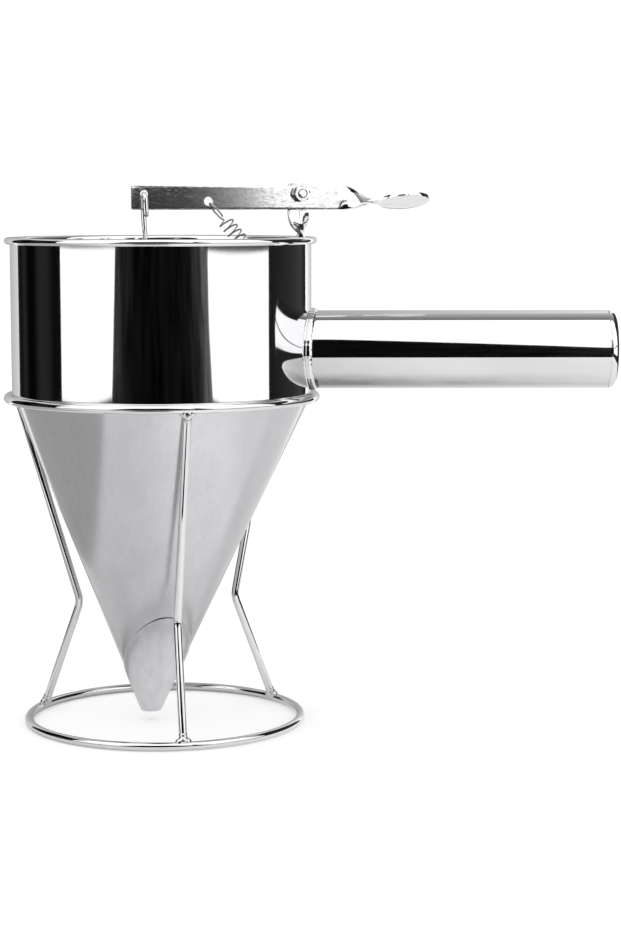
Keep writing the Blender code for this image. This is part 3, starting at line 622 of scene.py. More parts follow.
def drilled(item, holes, thickness):
    """Drill round holes along Y, with their edges broken. holes are (x, z, y, radius)."""
    drills = []
    half = thickness / 2
    broken = 0.2 * MM
    for along, rise, across, radius in holes:
        reach = half + DRILL_OVERRUN
        profile = [
            (0, reach),
            (radius + reach - half + broken, reach),
            (radius, half - broken),
            (radius, broken - half),
            (radius + reach - half + broken, -reach),
            (0, -reach),
        ]
        work = turned(profile, HOLE_STEPS, closed=False)
        bmesh.ops.rotate(work, verts=work.verts, matrix=Matrix.Rotation(QUARTER_TURN, 3, "X"))
        bmesh.ops.translate(work, verts=work.verts, vec=(along, across, rise))
        drill = object_from("drill", work)
        drills.append(drill)
        cut = item.modifiers.new("hole", "BOOLEAN")
        cut.operation = "DIFFERENCE"
        cut.object = drill
    made = applied(item)
    for drill in drills:
        bpy.data.objects.remove(drill)
    return made


def smooth_step(share):
    """Runs from 0 to 1 with flat ends."""
    return share * share * (3 - 2 * share)


def cone_slope(sizes):
    """How fast the cone's radius grows with height."""
    return (sizes.cup_radius - sizes.tip_radius) / (sizes.corner_height - sizes.tip_height)


def cone_radius(sizes, height):
    """Outer radius of the cone at a height."""
    return sizes.tip_radius + cone_slope(sizes) * (height - sizes.tip_height)


def lean(sizes):
    """The shear that sets the nozzle over to the left, on the cup's axis."""
    shear = Matrix.Identity(4)
    slope = sizes.tip_set_over / (sizes.lean_top - sizes.tip_height)
    shear[0][2] = slope
    shear[0][3] = -slope * sizes.lean_top
    return AXIS @ shear


class DISPENSER_OT_cup(Operator):
    """The cup with its rolled rim"""

    bl_idname = "dispenser.cup"
    bl_label = "Cup"

    def execute(self, context):
        sizes = context.scene.dispenser_sizes
        bead = sizes.bead_radius
        sheet = sizes.sheet
        angle = math.atan(cone_slope(sizes))
        centre = (sizes.cup_radius - sheet + bead, sizes.rim_height)
        under = -math.acos((sizes.cup_radius - centre[0]) / bead)
        bend = sizes.corner_bend
        bend_centre = (
            sizes.cup_radius - bend,
            sizes.corner_height + bend * math.tan(angle / 2),
        )
        lip_depth = 4 * MM
        lip = sizes.corner_height - lip_depth
        across = sheet / math.cos(angle)
        bead_steps = 28
        bend_steps = 8
        profile = arc(centre, bead, math.pi, under, bead_steps)
        profile += arc(bend_centre, bend, 0, -angle, bend_steps)
        profile.append((cone_radius(sizes, lip), lip))
        profile.append((cone_radius(sizes, lip) - across, lip))
        profile += arc(bend_centre, bend - sheet, -angle, 0, bend_steps)
        cup = object_from("cup", turned(profile, FINE_STEPS))
        fit(cup, AXIS, "mirror", "funnel", ["cup_shell"])
        return {"FINISHED"}


class DISPENSER_OT_cone(Operator):
    """The satin cone and the sleeve round its nozzle"""

    bl_idname = "dispenser.cone"
    bl_label = "Cone"

    def execute(self, context):
        sizes = context.scene.dispenser_sizes
        across = sizes.sheet / math.cos(math.atan(cone_slope(sizes)))
        top = cone_radius(sizes, sizes.cone_top) + TIGHT
        low = sizes.tip_height
        profile = [
            (top, sizes.cone_top),
            (sizes.tip_radius + TIGHT, low),
            (sizes.tip_radius - across, low),
            (top - across, sizes.cone_top),
        ]
        cone = object_from("funnel_cone", turned(profile, FINE_STEPS))
        fit(cone, lean(sizes), "satin", "funnel", ["cone"])
        self.sleeve(sizes)
        return {"FINISHED"}

    def sleeve(self, sizes):
        """The sleeve, cut on a slant that is highest at the front."""
        angle = math.atan(cone_slope(sizes))
        inner = TIGHT / math.cos(angle)
        outer = (sizes.sleeve_sheet + GAP) / math.cos(angle)
        low = sizes.sleeve_start
        rise = sizes.sleeve_front_rise + sizes.sleeve_right_rise
        high = low + sizes.sleeve_height + rise
        profile = [
            (cone_radius(sizes, high) + outer, high),
            (cone_radius(sizes, low) + outer, low),
            (cone_radius(sizes, low) + inner, low),
            (cone_radius(sizes, high) + inner, high),
        ]
        work = turned(profile, SLEEVE_STEPS)
        bmesh.ops.transform(work, matrix=lean(sizes), verts=work.verts)
        reach = cone_radius(sizes, high) + outer
        front = sizes.sleeve_front_rise / reach
        right = sizes.sleeve_right_rise / reach
        at = AXIS @ Vector((-sizes.tip_set_over, 0, low + sizes.sleeve_height))
        bmesh.ops.bisect_plane(
            work,
            geom=work.verts[:] + work.edges[:] + work.faces[:],
            plane_co=at,
            plane_no=(-right, front * math.hypot(right, 1), 1),
            clear_outer=True,
        )
        rim = [edge for edge in work.edges if edge.is_boundary]
        bmesh.ops.bridge_loops(work, edges=rim)
        bmesh.ops.recalc_face_normals(work, faces=work.faces)
        sleeve = object_from("nozzle_cuff", work)
        edge = 0.28 * MM
        bevelled(sleeve, edge, 3)
        sleeve = applied(sleeve)
        fit(sleeve, Matrix.Identity(4), "cuff", "funnel", ["nozzle_sleeve"])


class DISPENSER_OT_handle(Operator):
    """The tube handle with its weld and its end cap"""

    bl_idname = "dispenser.handle"
    bl_label = "Handle"

    def execute(self, context):
        sizes = context.scene.dispenser_sizes
        along = Matrix.Translation((0, 0, HANDLE_HEIGHT)) @ Matrix.Rotation(QUARTER_TURN, 4, "Y")
        self.tube(sizes, along)
        self.weld(sizes)
        self.cap(sizes, along)
        return {"FINISHED"}

    def tube(self, sizes, along):
        """The tube, coped to the cup's wall."""
        outer = sizes.handle_radius
        inner = outer - sizes.handle_wall
        seam_and_painted_line = sizes.handle_reach - sizes.cap_length - GAP
        work = turned(collar(outer, inner, seam_and_painted_line, BROKEN_EDGE), HANDLE_STEPS)
        bmesh.ops.transform(work, matrix=along, verts=work.verts)
        coped_end = 1 * MM
        for vertex in work.verts:
            if vertex.co.x < coped_end:
                vertex.co.x += math.sqrt(sizes.cup_radius ** 2 - vertex.co.y ** 2)
        tube = object_from("handle", work)
        fit(tube, AXIS, "painted_underside_shade", "funnel", ["handle_tube"])

    def weld(self, sizes):
        """The bead, which is fuller along the top of the tube."""
        radius = sizes.weld_radius
        sunk_in_tube = 0.45
        off_cup = 0.5
        around_tube = sizes.handle_radius - radius * sunk_in_tube
        around_cup = sizes.cup_radius + radius * off_cup
        ripple_height, ripple_turn = 0.03, 1.45
        lump_height, lump_spacing, lump_row = 0.12, 0.2, 2.5
        fuller_top = 0.1
        points = []
        radii = []
        count = 220
        for step in range(count):
            angle = FULL_TURN * step / count
            across = around_tube * math.cos(angle)
            out = math.sqrt(around_cup ** 2 - across ** 2)
            points.append((out, across, HANDLE_HEIGHT + around_tube * math.sin(angle)))
            ripple = ripple_height * math.sin(step * ripple_turn)
            ripple += lump_height * noise.noise((step * lump_spacing, lump_row, 0))
            radii.append(1.0 + ripple + fuller_top * max(0, math.sin(angle)) ** 2)
        bead_sides = 9
        bead = wire("handle_bead", points, radius, bead_sides, cyclic=True, radii=radii)
        fit(bead, AXIS, "mirror", "funnel", ["handle_weld"], sharp=80)

    def cap(self, sizes, along):
        """The domed cap in the handle's end."""
        outer = sizes.handle_radius
        corner = sizes.cap_corner
        start = sizes.handle_reach - sizes.cap_length
        flat = sizes.handle_reach - sizes.cap_dome
        spigot_gap = GAP / 3
        spigot = outer - sizes.handle_wall - spigot_gap
        spigot_bore = spigot - 1 * MM
        depth = 7 * MM
        corner_steps = 14
        dome = [
            ((outer - corner) * share, sizes.handle_reach - sizes.cap_dome * share ** 2)
            for share in (0, 0.25, 0.5, 0.75)
        ]
        corner_centre = (outer - corner, flat - corner)
        profile = dome + arc(corner_centre, corner, QUARTER_TURN, 0, corner_steps)
        profile += [
            (outer, start + BROKEN_EDGE),
            (outer - BROKEN_EDGE, start),
            (spigot, start),
            (spigot, start - depth),
            (spigot_bore, start - depth),
            (spigot_bore, start - depth / 2),
            (0, start - depth / 2),
        ]
        cap = object_from("handle_cap", turned(profile, HANDLE_STEPS, closed=False))
        fit(cap, AXIS @ along, "mirror", "funnel", ["handle_end_cap"])


class DISPENSER_OT_lever(Operator):
    """The lever, one bar turned over into a thumb pad"""

    bl_idname = "dispenser.lever"
    bl_label = "Lever"

    def execute(self, context):
        sizes = context.scene.dispenser_sizes
        half = sizes.lever_width / 2
        neck = sizes.lever_neck / 2
        corner = sizes.lever_corner
        tail = -PIVOT_ALONG - sizes.lever_tail
        twist = math.radians(106.0)
        corner_steps, bar_steps, twist_steps, pad_steps = 5, 30, 48, 56
        pad_end = math.pi * 0.985
        stations = []

        def add(along, half_width, turn, drop):
            direction = Matrix.Rotation(-turn, 3, "X") @ Vector((0, 0, 1))
            stations.append((Vector((along, 0, -sizes.pivot_rise - drop)), direction, half_width))

        for angle in spread(QUARTER_TURN, corner_steps):
            add(
                tail + corner * (1 - math.cos(angle)),
                half - corner + corner * math.sin(angle),
                0,
                0,
            )
        run = sizes.lever_flat_run - tail - corner
        for part in spread(run, bar_steps, 1)[:-1]:
            add(tail + corner + part, half, 0, 0)
        pad_first = math.asin(neck / sizes.pad_radius)
        pad_start = sizes.pad_reach - sizes.pad_radius * math.cos(pad_first)
        for share in spread(1, twist_steps):
            eased = smooth_step(share)
            along = sizes.lever_flat_run + (pad_start - sizes.lever_flat_run) * share
            add(along, half + (neck - half) * eased, twist * eased, sizes.pad_drop * eased)
        for part in spread(pad_end - pad_first, pad_steps, 1):
            angle = pad_first + part
            along = sizes.pad_reach - sizes.pad_radius * math.cos(angle)
            add(along, sizes.pad_radius * math.sin(angle), twist, sizes.pad_drop)
        thickness = sizes.lever_thickness
        cells = 10
        edge = 0.25 * MM
        bar = plate("thumb_lever", stations, cells, thickness, edge)
        drop = -sizes.pivot_rise
        holes = (
            (-PIVOT_ALONG, ROD_HOLE.z - PIVOT.z, 0, sizes.rod_hole),
            (
                sizes.spring_hole_reach - PIVOT_ALONG,
                drop - sizes.spring_hole_drop,
                0,
                sizes.spring_hole,
            ),
            (0, 0, 0, sizes.bolt_radius + GAP),
        )
        bar = drilled(bar, holes, thickness)
        fit(bar, AT_PIVOT, "brushed", "lever", ["lever"])
        return {"FINISHED"}


class DISPENSER_OT_bracket(Operator):
    """The twisted strip inside the cup that carries the pivot"""

    bl_idname = "dispenser.bracket"
    bl_label = "Bracket"

    def execute(self, context):
        sizes = context.scene.dispenser_sizes
        thickness = sizes.bracket_thickness
        across = sizes.lever_thickness / 2 + sizes.washer_thickness + 2 * GAP + thickness / 2
        half = sizes.bracket_width / 2
        top = sizes.bracket_top
        rounding = sizes.bracket_round
        twist_top = -sizes.bracket_flat
        twist_power = 2.2
        twist_bottom = sizes.rim_height + sizes.bead_radius + GAP - PIVOT.z
        corner_steps, flat_steps, twist_steps, foot_steps = 7, 6, 36, 8
        stations = []

        def add(rise, half_width, share):
            direction = Matrix.Rotation(QUARTER_TURN * share, 3, "Z") @ Vector((1, 0, 0))
            centre = Vector((sizes.bracket_jog * share, across, rise))
            stations.append((centre, direction, half_width))

        for angle in spread(QUARTER_TURN, corner_steps):
            add(
                top - rounding + rounding * math.cos(angle),
                half - rounding + rounding * math.sin(angle),
                0,
            )
        for part in spread(twist_top - top + rounding, flat_steps, 1)[:-1]:
            add(top - rounding + part, half, 0)
        for share in spread(1, twist_steps):
            add(twist_top + (twist_bottom - twist_top) * share, half, share ** twist_power)
        for part in spread(sizes.bracket_foot, foot_steps, 1):
            add(twist_bottom - part, half, 1)
        cells = 8
        edge = 0.22 * MM
        strip = plate("pivot_strip", stations, cells, thickness, edge)
        strip = drilled(strip, ((0, 0, across, sizes.bolt_radius + GAP),), thickness)
        fit(strip, AT_PIVOT, "brushed", "funnel", ["lever_bracket"])
        return {"FINISHED"}


class DISPENSER_OT_pivot(Operator):
    """The pivot's bolt, washers and nut"""

    bl_idname = "dispenser.pivot"
    bl_label = "Pivot"

    def execute(self, context):
        sizes = context.scene.dispenser_sizes
        facing = AT_PIVOT @ Matrix.Rotation(QUARTER_TURN, 4, "X")
        bracket = sizes.lever_thickness / 2 + sizes.washer_thickness + 2 * GAP
        back = -(bracket + sizes.bracket_thickness + GAP)
        front = sizes.lever_thickness / 2 + GAP
        nut_start = front + sizes.washer_thickness + GAP
        bolt_stand_out = 1.6 * MM
        self.bolt(sizes, facing, back, nut_start + sizes.nut_height + bolt_stand_out)
        rear = -(sizes.lever_thickness / 2 + GAP + sizes.washer_thickness)
        for name, node, start in (
            ("front_washer", "washer_front", front),
            ("back_washer", "washer_back", rear),
        ):
            self.washer(sizes, facing, name, node, start)
        self.nut(sizes, facing, nut_start)
        return {"FINISHED"}

    def bolt(self, sizes, facing, back, end):
        """The bolt, with a round, recessed head and a few threads at its end."""
        radius = sizes.bolt_radius
        head = sizes.bolt_head
        tall = 2.4 * MM
        thread_count = 7
        pitch = 0.7 * MM
        depth = 0.22 * MM
        end_chamfer, first_crest = 0.45 * MM, 0.35 * MM
        crest_share, root_share = 0.25, 0.6
        head_side, head_round, round_steps = 0.7 * MM, 1.5 * MM, 6
        recess_mouth, recess_floor = 1.55 * MM, 1.45 * MM
        recess_side, recess_depth = 1.3 * MM, 1.5 * MM
        profile = [(0, end), (radius - end_chamfer, end)]
        for turn in range(thread_count):
            crest = end - first_crest - turn * pitch
            profile += [(radius, crest), (radius, crest - pitch * crest_share)]
            profile.append((radius - depth, crest - pitch * root_share))
        profile += [(radius, back), (head, back), (head, back - head_side)]
        round_centre = (head - head_round, back - tall + head_round)
        profile += arc(round_centre, head_round, 0, -QUARTER_TURN, round_steps)
        profile += [(recess_mouth, back - tall), (recess_floor, back - tall + recess_side)]
        profile.append((0, back - tall + recess_depth))
        bolt = object_from("pivot_screw", turned(profile, SMALL_STEPS, closed=False))
        fit(bolt, facing, "plated", "funnel", ["pivot_bolt"])

    def washer(self, sizes, facing, name, node, start):
        """One washer with broken edges."""
        bore = sizes.bolt_radius + 0.1 * MM
        edge = 0.12 * MM
        profile = collar(sizes.washer_radius, bore, sizes.washer_thickness, edge)
        ring = object_from(name, turned(profile, SMALL_STEPS))
        ring.data.transform(Matrix.Translation((0, 0, start)))
        fit(ring, facing, "plated", "funnel", [node])

    def nut(self, sizes, facing, start):
        """The hex nut, its corners cut by a cone at both ends."""
        tall = sizes.nut_height
        corner = sizes.nut_corner
        half_side = math.pi / 6
        flat = corner * math.cos(half_side)
        bore = sizes.bolt_radius + TIGHT
        bore_chamfer = 0.4 * MM
        level_steps = 12
        outside = corner * 0.9
        cone_start, cone_rise = 0.97, 1.7
        turned_by = math.radians(12)
        profile = [(corner, level) for level in reversed(spread(tall, level_steps))]
        profile += [(bore + bore_chamfer, 0), (bore, bore_chamfer)]
        profile += [(bore, tall - bore_chamfer), (bore + bore_chamfer, tall)]
        work = turned(profile, NUT_STEPS)
        for vertex in work.verts:
            flatwise = Vector((vertex.co.x, vertex.co.y))
            if flatwise.length > outside:
                angle = math.atan2(flatwise.y, flatwise.x) % (math.pi / 3) - half_side
                hexagon = flat / math.cos(angle)
                from_end = min(vertex.co.z, tall - vertex.co.z)
                chamfer = flat * cone_start + from_end * cone_rise
                reach = min(hexagon, chamfer) / flatwise.length
                vertex.co.x *= reach
                vertex.co.y *= reach
        nut = object_from("pivot_hex_nut", work)
        nut.data.transform(Matrix.Translation((0, 0, start)))
        nut.data.transform(Matrix.Rotation(turned_by, 4, "Z"))
        fit(nut, facing, "plated", "funnel", ["pivot_nut"], sharp=25)


class DISPENSER_OT_stopper(Operator):
    """The hooked rod and the plug that closes the nozzle"""

    bl_idname = "dispenser.stopper"
    bl_label = "Stopper"

    def execute(self, context):
        sizes = context.scene.dispenser_sizes
        bend = sizes.rod_bend
        back = sizes.rod_set_back
        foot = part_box("stopper_rod")[0].z - ROD_HOLE.z + sizes.rod_radius
        over = sizes.rod_set_over
        drop = sizes.rod_slant_drop
        rod_steps, slant_steps, bend_steps, hook_steps = 20, 12, 14, 6
        points = [(over, back, foot - part) for part in spread(foot + drop, rod_steps)]
        for share in spread(1, slant_steps, 1)[:-1]:
            points.append((over * (1 - share), back, -drop + (drop - bend) * share))
        angles = spread(QUARTER_TURN, bend_steps)
        for angle in angles:
            points.append((0, back - bend + bend * math.cos(angle), bend * math.sin(angle) - bend))
        for angle in angles:
            points.append((0, bend - back - bend * math.sin(angle), bend * math.cos(angle) - bend))
        slope = over / drop
        for down in spread(sizes.hook_drop - bend, hook_steps, 1):
            points.append((slope * down, -back, -bend - down))
        rod = wire("lift_rod", points, sizes.rod_radius)
        fit(rod, AT_ROD_HOLE, "mirror", "stopper", ["stopper_rod"], sharp=60)

        neck = sizes.plug_neck
        top = sizes.plug_neck_height
        radius = sizes.plug_radius
        edge = 0.4 * MM
        waist = math.acos((neck + edge) / radius)
        socket = sizes.rod_radius + TIGHT
        socket_floor = top - 5 * MM
        edge_steps, ball_steps = 5, 40
        profile = [(0, socket_floor), (socket, socket_floor), (socket, top)]
        profile += arc((neck - edge, top - edge), edge, QUARTER_TURN, 0, edge_steps)
        profile += arc((0, 0), radius, waist, -QUARTER_TURN, ball_steps)[:-1]
        profile.append((0, -radius))
        plug = object_from("ball_plug", turned(profile, PLUG_STEPS, closed=False))
        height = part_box("stopper_plug")[0].z + radius - ROD_HOLE.z
        plug.data.transform(Matrix.Translation((over, back, height)))
        fit(plug, AT_ROD_HOLE, "satin", "stopper", ["stopper_plug"])
        return {"FINISHED"}


class DISPENSER_OT_spring(Operator):
    """The return spring and its lug on the cup's wall"""

    bl_idname = "dispenser.spring"
    bl_label = "Spring"

    def execute(self, context):
        sizes = context.scene.dispenser_sizes
        hole = (
            sizes.spring_hole_reach - PIVOT_ALONG,
            0,
            -sizes.pivot_rise - sizes.spring_hole_drop,
        )
        start = AT_PIVOT @ Vector(hole)
        lug = self.lug_place(sizes)
        end = AT_PIVOT @ lug
        pull = (end - start).normalized()
        held = sizes.spring_wire + sizes.hook_clearance
        start += pull * (sizes.spring_hole - held)
        end -= pull * (sizes.lug_hole - held)
        across = LEVER_TURN.to_3x3() @ Vector((0, 1, 0))
        points = self.turns(sizes, start, end, across)
        spring_sides = 3
        spring = wire("pull_spring", points, sizes.spring_wire, spring_sides)
        look = fit(spring, Matrix.Identity(4), "spring", None, sharp=60)
        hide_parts("return_spring")
        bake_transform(look)
        self.lug(sizes, lug)
        return {"FINISHED"}

    def lug_place(self, sizes):
        """The lug's hole, seen from the pivot along the lever."""
        offset = AT_PIVOT.inverted() @ Vector((CUP_MIDDLE.x, CUP_MIDDLE.y, PIVOT.z))
        inner = sizes.cup_radius - sizes.sheet - GAP
        side = abs(offset.y) + sizes.lug_thickness / 2
        wall = offset.x + math.sqrt(inner ** 2 - side ** 2)
        return Vector((wall - sizes.lug_reach, 0, sizes.rim_height - sizes.lug_drop - PIVOT.z))

    def turns(self, sizes, start, end, across):
        """The spring's line: a hook, a crossing, the coil, a crossing and a hook."""
        axis = (end - start).normalized()
        side = axis.cross(across)
        hook = sizes.spring_hook
        crossing = sizes.spring_pitch / 2
        coil = (end - start).length - 2 * (2 * hook + crossing)
        turns = max(1, round(coil / sizes.spring_pitch))
        hook_turn = FULL_TURN * 0.82
        hook_steps, crossing_steps, turn_steps = 44, 14, 40

        def hook_points(hold, along, through):
            centre = hold + along * hook
            points = []
            for share in spread(1, hook_steps):
                angle = math.pi - hook_turn * (1 - share)
                swing = through * math.sin(angle) - along * math.cos(angle)
                points.append(centre + swing * hook)
            tangent = (points[0] - points[1]).normalized()
            return [points[0] + tangent * (2 * sizes.spring_wire)] + points

        def coil_point(distance, radius, angle):
            spoke = across * math.cos(angle) + side * math.sin(angle)
            return start + axis * distance + spoke * radius

        points = hook_points(start, axis, across)
        begin = math.pi
        for share in spread(1, crossing_steps, 1):
            radius = sizes.spring_coil * math.sin(QUARTER_TURN * share)
            distance = 2 * hook + crossing * share
            points.append(coil_point(distance, radius, begin + QUARTER_TURN * share))
        begin += QUARTER_TURN
        for share in spread(1, turns * turn_steps, 1):
            distance = 2 * hook + crossing + coil * share
            angle = begin + FULL_TURN * turns * share
            points.append(coil_point(distance, sizes.spring_coil, angle))
        begin += FULL_TURN * turns
        for share in spread(1, crossing_steps, 1)[:-1]:
            radius = sizes.spring_coil * math.cos(QUARTER_TURN * share)
            distance = 2 * hook + crossing + coil + crossing * share
            points.append(coil_point(distance, radius, begin + QUARTER_TURN * share))
        points += reversed(hook_points(end, -axis, -across))
        return points

    def lug(self, sizes, place):
        """The ear, a flat outline with a hole, given its thickness."""
        curve = bpy.data.curves.new("spring_ear", "CURVE")
        curve.dimensions = "2D"
        curve.fill_mode = "BOTH"
        edge = BROKEN_EDGE
        curve.extrude = sizes.lug_thickness / 2 - edge
        curve.bevel_depth = edge
        curve.bevel_resolution = 1
        half = sizes.lug_height / 2 - edge
        reach = sizes.lug_reach
        outline = [(reach, half), (reach, -half)]
        end_steps, hole_steps = 32, 40
        outline += arc((0, 0), half, -QUARTER_TURN, -3 * QUARTER_TURN, end_steps)
        hole = arc((0, 0), sizes.lug_hole + edge, 0, FULL_TURN, hole_steps)[:-1]
        for points in (outline, hole):
            spline = curve.splines.new("POLY")
            spline.points.add(len(points) - 1)
            for knot, point in zip(spline.points, points):
                knot.co = (*point, 0, 1)
            spline.use_cyclic_u = True
        ear = applied(object_of("spring_ear", curve))
        upright = Matrix.Translation(place) @ Matrix.Rotation(QUARTER_TURN, 4, "X")
        fit(ear, AT_PIVOT @ upright, "brushed", "funnel", ["spring_lug"])


class DISPENSER_OT_stand(Operator):
    """The stand's rings, bent legs and welds"""

    bl_idname = "dispenser.stand"
    bl_label = "Stand"

    legs = (
        ("front_leg", "stand_leg_front", math.radians(-78.8), math.radians(1.7)),
        ("right_leg", "stand_leg_right", math.radians(38.6), math.radians(7.5)),
        ("left_leg", "stand_leg_left", math.radians(159.0), math.radians(9.5)),
    )

    def execute(self, context):
        sizes = context.scene.dispenser_sizes
        for name, node, radius, height in (
            ("upper_ring", "stand_top_ring", sizes.top_ring, TOP_RING_HEIGHT),
            ("lower_ring", "stand_base_ring", sizes.base_ring, sizes.wire_radius),
        ):
            sides = 24
            section = arc((radius, height), sizes.wire_radius, 0, FULL_TURN, sides)[:-1]
            ring = object_from(name, turned(section, FINE_STEPS))
            fit(ring, AXIS, "chrome", "stand", [node])
        for name, node, azimuth, head_turn in self.legs:
            self.leg(sizes, name, node, azimuth, head_turn)
        return {"FINISHED"}

    def leg(self, sizes, name, node, azimuth, head_turn):
        """One leg, from the base ring in to its bend and out to the upper ring."""
        bend_turn_share = 0.4
        bend_steps = 24
        foot = Vector((sizes.base_ring, 0, sizes.wire_radius))
        bend = Vector((sizes.leg_bend_reach, 0, sizes.leg_bend_height))
        bend = Matrix.Rotation(head_turn * bend_turn_share, 3, "Z") @ bend
        head = Vector((sizes.top_ring, 0, TOP_RING_HEIGHT))
        head = Matrix.Rotation(head_turn, 3, "Z") @ head
        lower = (bend - foot).normalized()
        upper = (head - bend).normalized()
        run_in = sizes.leg_bend_round * math.tan(lower.angle(upper) / 2)
        buried = 1.6 * MM
        points = [foot + lower * (buried + sizes.leg_wire)]
        for share in spread(1, bend_steps):
            first = bend - lower * (run_in * (1 - share))
            second = bend + upper * (run_in * share)
            points.append(first.lerp(second, share))
        points.append(head - upper * (buried + sizes.leg_wire))
        place = AXIS @ Matrix.Rotation(azimuth, 4, "Z")
        leg = wire(name, points, sizes.leg_wire)
        fit(leg, place, "chrome", "stand", [node], sharp=60)
        self.weld(sizes, name + "_lower_weld", place, foot, lower)
        self.weld(sizes, name + "_upper_weld", place, head, -upper)

    def weld(self, sizes, name, place, centre, out):
        """A weld where a leg meets a ring: overlapping drops, made one skin and smoothed."""
        work = bmesh.new()
        radius = sizes.stand_weld
        sideways = Vector((-centre.y, centre.x, 0)).normalized()
        drops = (
            (2.4 * MM, 0, 1.0),
            (4.6 * MM, 0, 0.86),
            (1.7 * MM, 1.7 * MM, 0.86),
            (1.6 * MM, -1.8 * MM, 0.84),
        )
        for along, across, share in drops:
            at = centre + out * along + sideways * across
            bmesh.ops.create_icosphere(
                work,
                subdivisions=3,
                radius=radius * share,
                matrix=Matrix.Translation(at),
            )
        lump_scale, lump_height = 900, 0.22
        apart = Vector((centre.x * 1000, 0, 0))
        for vertex in work.verts:
            push = noise.noise(vertex.co * lump_scale + apart)
            vertex.co += (vertex.co - centre).normalized() * (push * lump_height * MM)
        drop = object_from(name, work)
        skin = drop.modifiers.new("skin", "REMESH")
        skin.mode = "VOXEL"
        skin.voxel_size = 0.22 * MM
        ease = drop.modifiers.new("ease", "SMOOTH")
        ease.factor = 0.6
        ease.iterations = 5
        drop = applied(drop)
        fit(drop, place, "weld", "stand", sharp=80)


